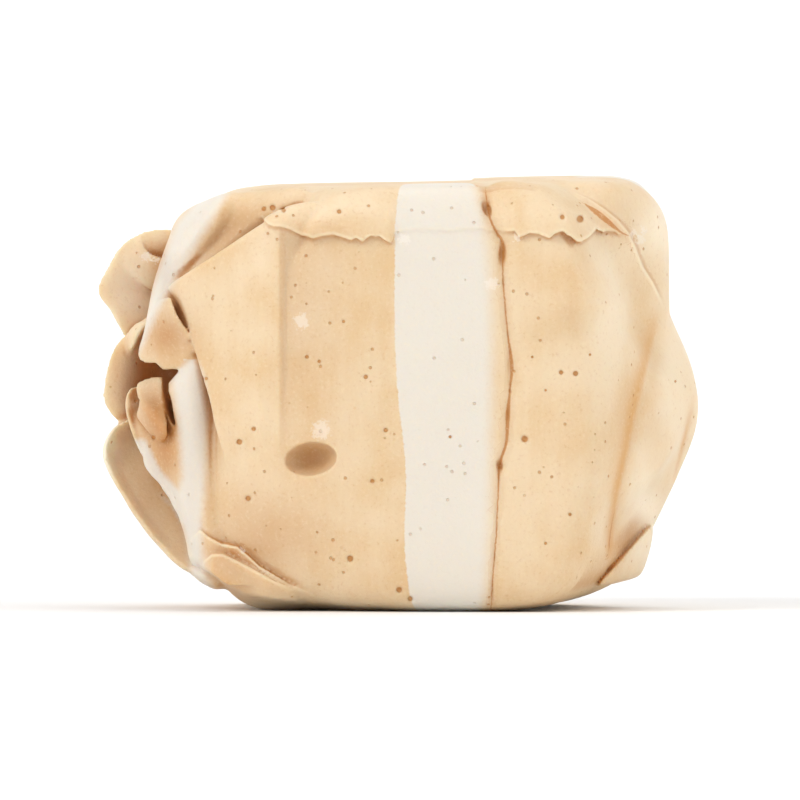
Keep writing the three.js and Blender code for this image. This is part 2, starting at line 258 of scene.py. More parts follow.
def pressed(faces, x, y, z, softness):
    """The distance past the pressed faces, a smooth maximum over them."""
    total = 0.0
    most = None
    past = []
    for turn, tip, reach in faces:
        out = outward(turn, tip)
        past.append((out[0] * x + out[1] * y + out[2] * (z - HEART[2]) - reach).astype(np.float32))
        most = past[-1] if most is None else np.maximum(most, past[-1])
    for distance in past:
        total = total + np.exp((distance - most) / softness)
    return most + softness * np.log(total)


def pressed_plug(field):
    """Fills the field with the plug: with sharp edges everywhere, and rounded ones near the surface."""
    near_by = 1.4
    for turn, tip, reach in PRESSED_FACES + OPENED_FACES:
        out = outward(turn, tip).astype(np.float32)
        past = out[0] * field.x + out[1] * field.y + out[2] * (field.z - HEART[2]) - np.float32(reach)
        field.d = np.maximum(field.d, past)
    near = np.nonzero(np.abs(field.d) < near_by)
    x, y, z = field.x[near[0], 0, 0], field.y[0, near[1], 0], field.z[0, 0, near[2]]
    field.d[near] = pressed(PRESSED_FACES + OPENED_FACES, x, y, z, softness_at(x, y, z))
    window = field.window(*BACK_CORNER_ROOM)
    field.join(pressed(BACK_CORNER, *field.places(window), EDGE_SOFTNESS), window, blend=0.3)


def on_front(x, z):
    """The point of the plug's front at each x and z, and its way out."""
    halvings, outside_all, aside = 26, 15.0, 1e-2
    low, high = np.zeros_like(x), np.full_like(x, outside_all)
    for _ in range(halvings):
        middle = (low + high) / 2
        outside = pressed(PRESSED_FACES, x, -middle, z, softness_at(x, -middle, z)) > 0
        low, high = np.where(outside, low, middle), np.where(outside, middle, high)
    point = np.stack([x, -low, z], -1)

    def past(places):
        return pressed(PRESSED_FACES, *places.reshape(-1, 3).T, EDGE_SOFTNESS)

    here = past(point)
    slope = [past(point + aside * axis) - here for axis in np.eye(3)]
    return point, unit(np.stack(slope, -1).reshape(point.shape))


# ---------------------------------------------------------------- leaves of candy


def closed_sheet(middle, half_front, half_back):
    """A closed mesh round a sheet of points: half_front and half_back are its thickness to each side."""
    across, along = middle.shape[:2]
    out = unit(np.cross(np.gradient(middle, axis=0), np.gradient(middle, axis=1)))
    front = middle - out * half_front[..., None]
    back = middle + out * half_back[..., None]
    points = np.concatenate([front.reshape(-1, 3), back.reshape(-1, 3)])
    index = np.arange(across * along).reshape(across, along)
    behind = index + across * along
    quads = [
        np.stack([index[:-1, :-1], index[:-1, 1:], index[1:, 1:], index[1:, :-1]], -1).reshape(-1, 4),
        np.stack([behind[:-1, :-1], behind[1:, :-1], behind[1:, 1:], behind[:-1, 1:]], -1).reshape(-1, 4),
    ]
    border = np.concatenate([index[0, :], index[1:, -1], index[-1, -2::-1], index[-2:0:-1, 0]])
    ahead = np.roll(border, -1)
    quads.append(np.stack([ahead, border, border + across * along, ahead + across * along], -1))
    return points, np.concatenate(quads)


def rounding(s, rim, length, thickness):
    """How full a sheet is at s of its length: a half round at the ends, rim of its thickness wide."""
    reach = max(rim * thickness, 1e-3)
    t = np.clip(np.minimum(s, 1 - s) * length / reach, 0, 1)
    return np.sqrt(np.clip(1 - (1 - t) ** 2, 0.01, 1))


TEARS = ((1.7, 0.6), (0.6, 0.4))  # how a torn edge wanders: the pitch and the share of each wave


def leaf(field, rows, thickness, backing=0.0, blend=0.25, ragged=0.0, seed=0, rim=0.6):
    """A leaf of candy through rows of points: the first row is its free edge and the last one its root.

    thickness has a number for each row, backing thickens the inner side, and ragged tears the free edge.
    """
    spacing, thinnest = 1.2 * STEP, 0.04
    rows = np.asarray(rows, float)
    spans = [np.linalg.norm(np.diff(rows, axis=k), axis=-1).sum(axis=k).max() for k in (0, 1)]
    counts = [int(np.clip(span / spacing, 8, 160)) for span in spans]
    u, v = (0.5 - 0.5 * np.cos(np.pi * np.linspace(0, 1, n)) for n in counts)
    curves = through(np.moveaxis(rows, 1, 0), v)
    middle = through(np.moveaxis(curves, 1, 0), u)
    if ragged:
        rng = np.random.default_rng(seed)
        waves = [(share, rng.uniform(-1, 1, int(spans[1] / pitch) + 3)) for pitch, share in TEARS]
        tear = ragged * sum(share * through(wave, v) for share, wave in waves)
        edge_way = unit(middle[0] - middle[len(u) // 3])
        middle = middle + tear[None, :, None] * edge_way[None] * smoothstep(0.5, 0, u)[:, None, None]
    thick = through(thickness, u)
    full = rounding(u, rim, spans[0], thick.max())[:, None] * rounding(v, rim, spans[1], thick.max())[None]
    half = np.maximum(thick, thinnest)[:, None] / 2 * full
    deep = half + backing * full * smoothstep(0, 0.5, u)[:, None]
    field.join(*field.solid(*closed_sheet(middle, half, deep)), blend)


def crevice(field, line, into, depth, widths):
    """A narrow cut along a line of points. into is the way in, and widths has one for each point."""
    proud, taper, thinnest = 0.5, 0.75, 0.02
    line = np.asarray(line, float)
    into = unit(np.asarray(into, float))
    v = np.linspace(0, 1, int(np.linalg.norm(np.diff(line, axis=0), axis=1).sum() / STEP) + 8)
    path = through(line, v)
    wide = np.maximum(through(widths, v), thinnest)
    u = np.linspace(0, 1, max(int(depth / STEP), 8))
    middle = path[None] + into * (u * (depth + proud) - proud)[:, None, None]
    half = wide[None] / 2 * (1 - taper * u)[:, None] * rounding(v, 0.5, 6.0, 1.0)[None]
    field.cut(*field.solid(*closed_sheet(middle, half, half)), blend=0.05)


def hole(field, centre, radii, turn=0.0, blend=0.06, raised=False):
    """An oval hollow, turned in the plane of the front, or with raised a bump."""
    centre = np.asarray(centre, float)
    radii = np.asarray(radii, float)
    around = radii.max() + 0.5
    window = field.window(centre - around, centre + around)
    x, y, z = field.places(window)
    x, y, z = x - centre[0], y - centre[1], z - centre[2]
    c, s = math.cos(math.radians(turn)), math.sin(math.radians(turn))
    along, up = c * x + s * z, c * z - s * x
    size = np.sqrt((along / radii[0]) ** 2 + (y / radii[1]) ** 2 + (up / radii[2]) ** 2)
    distances = ((size - 1) * radii.min()).astype(np.float32)
    (field.join if raised else field.cut)(distances, window, blend)


# ---------------------------------------------------------------- the left end

# The free edge and the sunk root of the front's outer layer, x and height from the top down.
SKIN_EDGE = [
    (-11.1, 14.6), (-10.35, 13.4), (-9.85, 12.0), (-9.4, 10.6), (-9.0, 9.3), (-8.7, 7.4), (-8.5, 4.6),
]
SKIN_ROOT = [
    (-3.4, 19.7), (-3.6, 17.0), (-4.2, 14.0), (-4.6, 11.5), (-5.0, 9.0), (-5.6, 6.8), (-6.4, 4.6),
]


def left_skin(field):
    """The front's outer layer: it stands free along its left edge, and its root and lower end sink in."""
    thickness, proud, sink = 1.1, 0.16, 0.9
    v = np.linspace(0, 1, 90)
    u = np.linspace(0, 1, 60)[:, None]
    edge = through(SKIN_EDGE, v)
    root = through(SKIN_ROOT, v)
    flat = edge[None] * (1 - u)[..., None] + root[None] * u[..., None]
    point, out = on_front(flat[..., 0], flat[..., 1])
    sunk = np.maximum(smoothstep(0.55, 1, u), smoothstep(0.7, 1, v)[None])
    middle = point + out * (proud - thickness / 2 - sink * sunk)[..., None]
    full = rounding(u, 0.5, 6.0, thickness) * rounding(v, 0.3, 10.0, thickness)[None]
    half = thickness / 2 * full
    field.join(*field.solid(*closed_sheet(middle, half, half)), blend=0.1)


def ridge_fold(field):
    """Behind the slanting edge: a trough, then a white ridge, ending below the tip in a torn edge."""
    leaf(
        field,
        rows=[
            [(-11.6, -3.6, 11.6), (-12.15, -4.8, 11.4), (-11.55, -5.6, 11.1), (-10.8, -6.2, 10.85),
             (-10.2, -6.6, 11.0), (-9.5, -7.2, 11.6)],
            [(-11.1, -3.4, 12.6), (-11.55, -4.6, 12.5), (-11.2, -5.6, 12.4), (-10.7, -6.1, 12.3),
             (-10.2, -6.5, 12.3), (-9.5, -7.2, 12.4)],
            [(-10.55, -3.1, 14.6), (-10.9, -4.4, 14.6), (-10.7, -5.6, 14.6), (-10.5, -5.8, 14.6),
             (-10.0, -6.0, 14.6), (-9.2, -6.5, 14.5)],
            [(-9.75, -2.6, 16.5), (-10.25, -4.1, 16.4), (-9.7, -6.1, 16.5), (-9.0, -6.0, 16.6),
             (-8.1, -6.3, 16.6), (-7.0, -7.2, 16.7)],
            [(-9.2, -2.2, 17.7), (-9.75, -3.8, 17.4), (-8.55, -6.3, 17.9), (-7.9, -6.3, 18.0),
             (-6.6, -6.9, 18.1), (-4.8, -8.2, 18.3)],
            [(-8.2, -2.2, 18.1), (-8.4, -3.6, 18.1), (-8.0, -5.4, 18.35), (-7.0, -6.0, 18.4),
             (-5.8, -6.6, 18.5), (-4.2, -8.0, 18.7)],
        ],
        thickness=[0.35, 0.8, 1.2, 1.3, 1.3, 1.2],
        rim=0.7,
        ragged=0.13,
        seed=4,
        blend=0.3,
    )
    leaf(
        field,
        rows=[
            [(-10.75, -7.2, 14.2), (-10.62, -7.4, 13.8), (-10.4, -7.5, 13.3), (-10.1, -7.6, 12.85),
             (-9.8, -7.7, 12.4)],
            [(-11.0, -6.6, 14.1), (-10.95, -6.7, 13.5), (-10.75, -6.8, 12.9), (-10.5, -6.8, 12.4),
             (-10.0, -7.0, 11.9)],
            [(-11.35, -5.6, 13.9), (-11.25, -5.8, 13.2), (-11.1, -5.9, 12.5), (-10.8, -6.0, 11.9),
             (-10.3, -6.2, 11.5)],
        ],
        thickness=[0.2, 0.35, 0.7],
        blend=0.2,
    )


def inner_fold(field):
    """Below it, white where the left stripe crosses it, down to a slightly jagged free edge."""
    leaf(
        field,
        rows=[
            [(-12.45, -4.4, 8.9), (-12.0, -4.7, 6.8), (-11.0, -5.2, 5.4), (-10.05, -5.7, 3.8),
             (-9.7, -6.0, 2.1)],
            [(-11.4, -4.5, 9.2), (-11.1, -4.9, 7.1), (-10.3, -5.6, 5.4), (-9.6, -6.2, 3.6),
             (-9.3, -6.5, 2.05)],
            [(-10.4, -5.7, 10.6), (-10.2, -6.0, 7.8), (-9.6, -6.6, 5.4), (-9.1, -6.9, 3.6),
             (-8.8, -7.0, 2.1)],
            [(-9.1, -6.9, 12.0), (-9.0, -7.1, 8.4), (-8.7, -7.5, 5.6), (-8.4, -7.8, 3.6), (-8.0, -7.7, 2.0)],
        ],
        thickness=[0.5, 1.0, 1.4, 1.4],
        backing=1.6,
        ragged=0.14,
        seed=9,
    )


def rolled_lobe(field):
    """The small lobe that is rolled up on the inner fold's upper end."""
    leaf(
        field,
        rows=[
            [(-12.25, -4.6, 10.2), (-11.7, -5.0, 10.5), (-11.1, -5.5, 10.6)],
            [(-12.3, -5.0, 9.8), (-11.6, -5.5, 9.6), (-10.95, -5.9, 9.4)],
            [(-12.15, -5.6, 9.4), (-11.5, -6.5, 8.75), (-10.85, -6.9, 8.1)],
            [(-12.2, -4.9, 8.9), (-11.6, -5.5, 8.1), (-11.0, -5.9, 7.5)],
        ],
        thickness=[0.3, 0.35, 0.3, 0.7],
        blend=0.06,
    )
    leaf(
        field,
        rows=[
            [(-12.65, -4.5, 10.0), (-12.8, -4.6, 9.2), (-12.55, -4.7, 8.2), (-12.1, -4.8, 7.0)],
            [(-12.0, -3.9, 10.1), (-12.1, -3.9, 9.2), (-11.9, -3.9, 8.1), (-11.4, -4.0, 6.9)],
            [(-11.0, -3.6, 10.2), (-11.0, -3.4, 9.2), (-10.8, -3.3, 8.1), (-10.2, -3.3, 6.9)],
        ],
        thickness=[0.35, 0.8, 1.6],
        blend=0.15,
    )


BACK_PETALS = [  # free edge, and how far the fold swells to the back
    ([(-9.2, 5.4, 18.0), (-12.1, 5.9, 14.8), (-12.7, 5.3, 11.2), (-10.6, 3.8, 7.6)], 0.8),
    ([(-11.6, 2.4, 10.6), (-13.0, 2.4, 7.4), (-12.0, 2.4, 4.2), (-8.6, 3.0, 0.8)], 0.6),
    ([(-9.8, 7.8, 14.6), (-11.8, 7.4, 10.8), (-11.4, 6.6, 6.8), (-8.4, 6.0, 2.0)], 0.7),
    ([(-9.4, 3.2, 15.9), (-11.4, 3.9, 13.8), (-11.9, 3.6, 11.0), (-10.4, 2.8, 8.6)], -0.5),
    ([(-10.4, 4.6, 7.4), (-11.6, 4.4, 5.4), (-10.6, 4.2, 3.2), (-8.6, 4.0, 1.6)], -0.4),
    ([(-10.2, -0.6, 4.6), (-11.0, -0.2, 3.4), (-10.2, 0.3, 2.2), (-8.4, 0.8, 1.0)], 0.5),
    ([(-9.0, 7.4, 17.2), (-10.4, 7.9, 15.9), (-10.6, 7.5, 13.9), (-9.6, 6.6, 12.4)], 0.4),
]


def open_petals(field):
    """The thin folds that stand open round the twist. The first three show beside the front."""
    leaf(
        field,
        rows=[
            [(-10.0, 1.6, 17.2), (-11.9, 1.2, 17.05), (-13.2, 0.8, 16.1), (-14.0, 0.4, 14.5),
             (-13.4, 0.2, 13.4), (-12.85, 0.1, 12.3)],
            [(-10.0, 1.5, 16.6), (-11.6, 1.3, 16.3), (-12.7, 1.1, 15.5), (-13.3, 0.8, 14.4),
             (-12.9, 0.6, 13.4), (-12.3, 0.5, 12.3)],
            [(-9.4, 1.9, 15.6), (-10.4, 2.1, 15.1), (-11.0, 2.1, 14.5), (-11.2, 2.0, 13.7),
             (-11.0, 1.8, 13.0), (-10.6, 1.5, 12.2)],
            [(-8.0, 2.8, 14.0), (-8.2, 2.6, 13.4), (-8.4, 2.6, 12.8), (-8.4, 2.6, 12.4), (-8.3, 2.6, 12.0),
             (-8.0, 2.4, 11.4)],
        ],
        thickness=[0.25, 0.55, 1.4, 2.6],
        ragged=0.12,
        seed=2,
    )
    leaf(
        field,
        rows=[
            [(-10.2, 0.3, 15.5), (-11.2, 0.5, 15.8), (-11.85, 0.75, 16.2), (-12.1, 1.0, 16.8)],
            [(-10.4, 0.6, 15.0), (-11.4, 0.8, 15.2), (-12.2, 0.9, 15.7), (-12.6, 1.0, 16.3)],
            [(-10.6, 1.2, 14.2), (-11.6, 1.2, 14.4), (-12.6, 1.1, 15.0), (-13.1, 1.0, 15.7)],
        ],
        thickness=[0.22, 0.4, 0.8],
        ragged=0.06,
        seed=8,
        blend=0.12,
    )
    leaf(
        field,
        rows=[
            [(-11.6, -1.4, 13.3), (-12.5, -1.9, 12.7), (-13.25, -2.2, 11.7), (-13.65, -2.4, 10.5),
             (-13.75, -2.6, 9.2), (-13.0, -2.6, 8.4)],
            [(-11.8, -1.2, 13.0), (-12.15, -1.5, 12.3), (-12.45, -1.7, 11.3), (-12.6, -1.8, 10.3),
             (-12.7, -2.0, 9.3), (-12.4, -1.9, 8.6)],
            [(-11.2, 0.6, 12.6), (-11.4, 1.0, 11.8), (-11.5, 1.2, 10.9), (-11.5, 1.2, 10.2),
             (-11.4, 1.0, 9.6), (-11.2, 0.6, 9.0)],
            [(-8.2, 2.0, 11.2), (-8.4, 2.0, 10.8), (-8.6, 2.0, 10.4), (-8.6, 2.0, 9.8), (-8.4, 2.0, 9.2),
             (-8.2, 2.0, 8.8)],
        ],
        thickness=[0.3, 0.4, 0.9, 2.2],
        ragged=0.14,
        seed=3,
    )
    leaf(
        field,
        rows=[
            [(-11.4, -2.6, 13.2), (-12.1, -2.9, 12.6), (-12.5, -2.9, 11.8)],
            [(-11.6, -2.0, 13.0), (-12.3, -2.0, 12.4), (-12.6, -1.9, 11.5)],
            [(-11.4, -0.4, 12.6), (-11.9, -0.4, 12.0), (-12.2, -0.4, 11.2)],
        ],
        thickness=[0.25, 0.5, 0.9],
        blend=0.12,
    )
    leaf(
        field,
        rows=[
            [(-12.5, -3.2, 8.6), (-13.35, -3.2, 8.1), (-13.75, -3.3, 7.0), (-13.1, -3.6, 5.4),
             (-11.8, -4.1, 3.6), (-10.3, -4.6, 2.0), (-8.6, -5.2, 1.3)],
            [(-12.3, -1.9, 8.3), (-12.9, -1.9, 7.7), (-13.2, -2.1, 6.8), (-12.5, -2.7, 5.4),
             (-11.4, -3.3, 3.7), (-10.0, -3.9, 2.2), (-8.4, -4.6, 1.3)],
            [(-10.6, -1.2, 8.0), (-11.0, -1.3, 7.2), (-10.9, -1.5, 6.3), (-10.4, -1.8, 5.2),
             (-9.7, -2.3, 3.9), (-8.8, -2.8, 2.6), (-7.8, -3.4, 1.6)],
            [(-8.6, -1.2, 7.8), (-8.6, -1.2, 7.0), (-8.4, -1.2, 6.2), (-8.2, -1.4, 5.2), (-7.8, -1.8, 4.2),
             (-7.4, -2.2, 2.9), (-6.8, -2.8, 1.9)],
        ],
        thickness=[0.32, 0.8, 1.8, 3.2],
        ragged=0.14,
        seed=5,
    )
    for index, (edge, swell) in enumerate(BACK_PETALS):
        back_petal(field, edge, swell, index)


def back_petal(field, edge, swell, index):
    """One of the folds on the far side: a wavy edge, and a root drawn in toward the twist."""
    knots, wave, twist = 6, 0.35, np.array([-8.4, 1.2, 9.4])
    edge = through(edge, np.linspace(0, 1, knots))
    edge[:, 1] += wave * np.sin(np.arange(knots) * 1.9 + index)
    root = twist + (edge - twist) * np.array([0, 0.8, 0.8])
    bulge = np.array([0, swell, 0]) * np.sin(np.linspace(0.5, 2.6, knots))[:, None]
    rows = [edge, edge * 0.8 + root * 0.2 + 0.6 * bulge, (edge + root) / 2 + bulge, root]
    leaf(field, rows, thickness=[0.3, 0.7, 1.3, 2.4], ragged=0.14, seed=11 + index)


# ---------------------------------------------------------------- low relief on the front

LIP_EDGE = [  # the jagged lower edge of the lip that the knife dragged down over the front, x and height
    (-6.6, 17.7), (-6.3, 17.45), (-5.6, 17.3), (-5.1, 17.1), (-4.6, 16.95), (-4.3, 16.8), (-3.7, 16.95),
    (-3.3, 17.0), (-2.7, 16.8), (-2.3, 16.8), (-2.0, 16.7), (-1.7, 16.9), (-1.3, 16.95), (-1.1, 16.8),
    (-0.75, 16.6), (-0.6, 17.1), (0.4, 17.2), (1.8, 17.15), (3.2, 17.25), (4.4, 17.15), (4.8, 17.2),
    (5.0, 16.85), (5.15, 16.9), (5.5, 17.1), (5.8, 17.05), (6.1, 16.9), (6.35, 16.85), (6.6, 17.05),
    (7.0, 17.1), (7.3, 16.9), (7.6, 16.65), (7.8, 16.7), (8.1, 16.85), (8.5, 17.2), (8.8, 17.05),
    (9.1, 17.15), (9.5, 17.0), (9.9, 17.1), (10.4, 16.8), (10.8, 17.0),
]
LIP_RISE = [  # how thick it is, at each x
    (-6.9, 0.0), (-6.3, 0.22), (-4.0, 0.32), (-0.9, 0.28), (-0.5, 0.08), (4.2, 0.08), (4.8, 0.26),
    (9.3, 0.3), (9.9, 0.0),
]

RIGHT_EDGE = [  # where the front's outer layer ends at the upper right, height and x
    (12.0, 12.6), (13.4, 11.8), (14.0, 11.5), (14.8, 11.1), (15.5, 10.65), (16.4, 10.3), (17.05, 10.0),
    (17.6, 9.55), (18.1, 8.95), (18.6, 8.2), (19.0, 7.3), (19.6, 6.0),
]
CORNER_RIDGE = -5.85  # x of the ridge down the front's left corner

CRACK = [  # the seam that runs down the front to the right of the white stripe, x and height
    (3.5, 18.9), (3.68, 17.8), (4.0, 17.1), (4.27, 16.6), (4.27, 15.2), (4.37, 13.9), (4.5, 12.5),
    (4.68, 11.1), (4.6, 10.1), (4.5, 8.9), (4.44, 7.7), (4.2, 6.9), (4.1, 6.3), (4.06, 5.3), (3.99, 3.6),
    (3.85, 1.9), (3.75, 0.2),
]
CRACK_WIDTHS = [  # height, half width
    (0.2, 0.02), (2.0, 0.03), (5.3, 0.03), (6.3, 0.05), (7.7, 0.06), (8.9, 0.09), (9.8, 0.03), (11.2, 0.08),
    (12.5, 0.035), (15.2, 0.03), (16.6, 0.06), (17.4, 0.05), (18.9, 0.02),
]
SEAMS = [  # thin gaps between layers over the front, each drawn as a line of painted shade: x, height and half width
    [(x, z, value_at(z, CRACK_WIDTHS)) for x, z in CRACK],
    [(8.7, 1.3, 0.01), (8.9, 1.6, 0.04), (9.2, 1.95, 0.08), (9.42, 2.2, 0.05), (9.7, 2.45, 0.01)],
    [(8.0, 18.35, 0.03), (8.5, 18.0, 0.11), (9.0, 17.6, 0.11), (9.6, 17.1, 0.04), (10.0, 16.9, 0.02)],
    [(9.3, 4.4, 0.005), (9.16, 3.6, 0.02), (9.1, 3.1, 0.03), (9.08, 2.75, 0.01)],
]
STRUNG_DEPTH = 0.34
# Small hollows along the crack and in the upper right fold: x, height, half width, half height, turn.
STRUNG_BUBBLES = (
    (3.52, 18.25, 0.2, 0.44, 20),
    (4.25, 16.2, 0.18, 0.62, -3),
    (4.13, 6.6, 0.15, 0.3, 0),
    (8.8, 17.75, 0.95, 0.14, -38),
    (9.12, 1.88, 0.3, 0.07, 49),
)


def front_point(x, z):
    return on_front(np.array([float(x)]), np.array([float(z)]))[0][0]


def lip_low(x):
    """The height of the lip's torn edge."""
    pitch, swing = 0.22, 0.05
    knots = np.arange(-12, 14, pitch)
    torn = np.interp(x, knots, np.random.default_rng(31).uniform(-1, 1, len(knots)))
    return value_at(x, LIP_EDGE) + swing * torn


def lip_rise(x, z):
    """How far the lip stands out: all of it at its torn edge, and less toward the top."""
    at_edge = smoothstep(-0.03, 0.04, z - lip_low(x))
    below_top = smoothstep(19.4, 17.3, z)
    return value_at(x, LIP_RISE) * at_edge * below_top


def outer_layer_rise(x, z):
    """The front's outer layer at the upper right stands proud, and its edge is softer higher up."""
    rise = 0.5
    soft = 0.05 + 0.35 * smoothstep(17.0, 18.6, z)
    at_edge = smoothstep(soft, -soft, x - value_at(z, RIGHT_EDGE))
    from_below, from_left = smoothstep(12.2, 14.0, z), smoothstep(4.0, 8.5, x)
    below_top = smoothstep(19.3, 17.6, z)
    return rise * at_edge * from_below * from_left * below_top


def corner_sink(x, z):
    """To the right of the left corner's ridge the front lies deeper."""
    depth = 0.3
    off = x - CORNER_RIDGE
    beside = smoothstep(0.0, 0.35, off) * smoothstep(4.0, 0.4, off)
    from_below, below_lip = smoothstep(5.0, 12.0, z), smoothstep(17.6, 16.4, z)
    return depth * beside * from_below * below_lip


def crack_sink(x, z):
    """A narrow groove along the crack, in a broad soft hollow."""
    groove_depth, bevel = 0.13, 0.06
    hollow_depth, hollow_reach = 0.12, 0.5
    off = right_of(CRACK, x, z)
    wide = value_at(z, CRACK_WIDTHS) + bevel
    from_below, below_top = smoothstep(0.2, 0.8, z), smoothstep(19.0, 18.6, z)
    groove = groove_depth * np.clip(1 - np.abs(off) / wide, 0, 1) * from_below * below_top
    return groove + hollow_depth * np.exp(-((off / hollow_reach) ** 2)) * smoothstep(4.0, 10.0, z)


def pit_sink(x, z):
    """Round bowls, a little wider and less deep than their radius says."""
    wider, deep = 0.04, 0.9
    sink = np.zeros((len(x), z.shape[1]))
    for at_x, at_z, radius in PITS:
        far = np.hypot(x - at_x, z - at_z) / (radius + wider)
        sink = np.maximum(sink, deep * radius * np.sqrt(np.clip(1 - far * far, 0, 1)))
    return sink


def front_relief(field):
    """Raises the lip and the outer layer of the front, and sinks its corner, the crack and the pits."""
    x, z = field.x[:, 0], field.z[0]
    on_front_side = smoothstep(-3.0, -5.5, field.y)
    sunk = corner_sink(x, z) + crack_sink(x, z) + pit_sink(x, z)
    relief = sunk - lip_rise(x, z) - outer_layer_rise(x, z)
    field.d += (relief[:, None, :] * on_front_side).astype(np.float32)


TUCKED_EDGE = [  # the upper edge of the layer tucked up from below at the front's lower left, x and height
    (-9.9, 3.1), (-9.7, 3.4), (-9.4, 3.69), (-8.96, 3.35), (-8.45, 3.08), (-7.7, 2.94), (-7.32, 2.62),
    (-6.69, 2.05), (-6.06, 1.68), (-5.43, 1.3), (-4.6, 0.95), (-3.8, 0.6),
]
TUCKED_RISE = [(-9.9, 0.0), (-9.4, 0.2), (-8.8, 0.34), (-6.2, 0.3), (-4.6, 0.06), (-3.8, 0.0)]
FLAP_TOP = [  # the round-ended flap that lies on it
    (-9.35, 2.0), (-9.21, 2.31), (-8.83, 2.62), (-8.33, 2.62), (-7.82, 2.37), (-7.07, 1.99), (-6.06, 1.42),
    (-5.43, 1.17), (-4.9, 0.95),
]
FLAP_LOW = [(-9.35, 2.0), (-8.83, 1.7), (-8.33, 1.3), (-7.32, 0.75), (-5.43, 0.5), (-4.9, 0.45)]
FLAP_RISE = [(-9.35, 0.0), (-9.2, 0.25), (-8.8, 0.46), (-6.4, 0.44), (-5.3, 0.16), (-4.9, 0.0)]
LOW_CORNER = [  # the corner folded up at the lower right: a flat facet that stands a little proud
    (90, 0, 11.22),
    (90, -21.5, 12.88),
    (90, -79, 10.13),
    (70, -18, 12.7),
    (-90, 42.9, -11.995),
    (108, 0, 10.2),
]
CORNER_FOLD = [  # its upper edge, x and height
    (8.1, -1.0), (8.45, 0.7), (8.6, 1.1), (8.86, 1.52), (9.24, 1.97), (9.57, 2.36), (10.17, 2.85),
    (10.7, 3.28), (11.1, 3.8), (11.35, 4.4), (11.8, 5.6),
]
LOW_CORNER_ROOM = ((7.5, -9, 0.2), (12.4, 4, 5.5))


def low_folds(field):
    """Raises the folds that are pressed flat against the front's lower corners."""
    roll, thin = 0.4, 0.45  # how wide the flap's rolled edge is, and how thick it starts
    x, z = field.x[:, 0], field.z[0]
    tucked = value_at(x, TUCKED_RISE) * smoothstep(0.04, -0.03, z - value_at(x, TUCKED_EDGE))
    below = value_at(x, FLAP_TOP) - z
    rolled = np.clip(below / roll, 0, 1)
    flap = value_at(x, FLAP_RISE) * (thin + (1 - thin) * np.sqrt(1 - (1 - rolled) ** 2))
    flap = flap * smoothstep(-0.03, 0.03, below) * smoothstep(-0.14, 0.06, z - value_at(x, FLAP_LOW))
    on_front_side = smoothstep(-2.5, -4.5, field.y)
    field.d -= ((tucked + flap)[:, None, :] * on_front_side).astype(np.float32)

    window = field.window(*LOW_CORNER_ROOM)
    field.join(pressed(LOW_CORNER, *field.places(window), softness=0.14), window, blend=0.06)


BUBBLE = {"x": -4.4, "z": 6.9, "radii": (1.18, 1.2, 0.74), "turn": 8}
RIM_BUMP = {"centre": (4.6, -8.4, HEIGHT - 0.02), "radii": (0.75, 0.5, 0.14)}
PITS = [  # x, height, radius of the small open bubbles of the front
    (-7.6, 7.65, 0.13), (-6.95, 8.25, 0.1), (-7.2, 5.1, 0.12), (-2.6, 2.4, 0.14), (5.26, 7.8, 0.15),
    (6.9, 10.8, 0.1), (7.55, 10.75, 0.12), (7.75, 17.7, 0.16), (6.95, 17.8, 0.11), (-1.6, 5.9, 0.1),
    (-1.0, 8.2, 0.1), (6.2, 3.1, 0.07), (-4.55, 11.5, 0.09), (-4.0, 11.3, 0.08), (-1.9, 10.6, 0.1),
    (-6.5, 18.15, 0.11), (-6.1, 18.2, 0.13), (-5.6, 18.1, 0.1), (-3.1, 18.05, 0.1), (-2.9, 13.1, 0.07),
    (7.3, 4.4, 0.08), (-0.4, 1.0, 0.13), (0.1, 0.6, 0.11), (-9.1, 10.5, 0.08), (1.9, 7.9, 0.07),
    (8.2, 11.6, 0.06), (5.6, 11.5, 0.06), (6.2, 10.0, 0.06), (12.1, 10.3, 0.06), (-11.5, 7.8, 0.1),
]


def open_bubbles(field):
    """The air bubble that the pull has opened, the small strung ones, and a bump on the top's rim."""
    hole(field, front_point(BUBBLE["x"], BUBBLE["z"]), BUBBLE["radii"], BUBBLE["turn"], blend=0.08)
    hole(field, RIM_BUMP["centre"], RIM_BUMP["radii"], raised=True, blend=0.1)
    for x, z, wide, tall, turn in STRUNG_BUBBLES:
        hole(field, front_point(x, z), (wide, STRUNG_DEPTH, tall), turn)


# The two long creases beside the right end, x and height from the top down.
SIDE_CREASE = [
    (11.3, 13.6), (11.1, 12.6), (10.7, 11.0), (10.2, 9.1), (9.8, 7.2), (9.4, 5.4), (9.15, 3.6), (9.1, 2.4),
]
SECOND_CREASE = [(13.0, 9.6), (12.7, 8.4), (12.4, 7.2), (12.05, 5.8)]
PRESSED_CREASES = (  # line, depth, reach to its left and right
    (SIDE_CREASE, 0.22, 1.2, 0.45),
    (SECOND_CREASE, 0.2, 0.5, 0.25),
)
TIP_CREASES = [  # bearing round the right end's tip, depth, width
    (25, 0.45, 20), (92, 0.55, 24), (158, 0.4, 20), (214, 0.4, 18), (262, 0.5, 20), (318, 0.45, 20),
]
TIP = {"y": -1.0, "z": 9.6, "swirl": 9, "swirl_length": 2.2}


def tip_creases(field):
    """Sinks creases that run in to the tip of the right end."""
    around_y, around_z = field.y - TIP["y"], field.z - TIP["z"]
    radius = np.hypot(around_y, around_z)
    bearing = np.degrees(np.arctan2(around_y, around_z)) + TIP["swirl"] * np.sin(radius / TIP["swirl_length"])
    sink = 0
    for at, depth, width in TIP_CREASES:
        off = (bearing - at + 180) % 360 - 180
        sink = np.maximum(sink, depth * np.exp(-((off / width) ** 2)))
    sink = sink * smoothstep(1, 5, radius) * smoothstep(10, 6.5, radius)
    field.d += (smoothstep(6.5, 10, field.x) * sink).astype(np.float32)


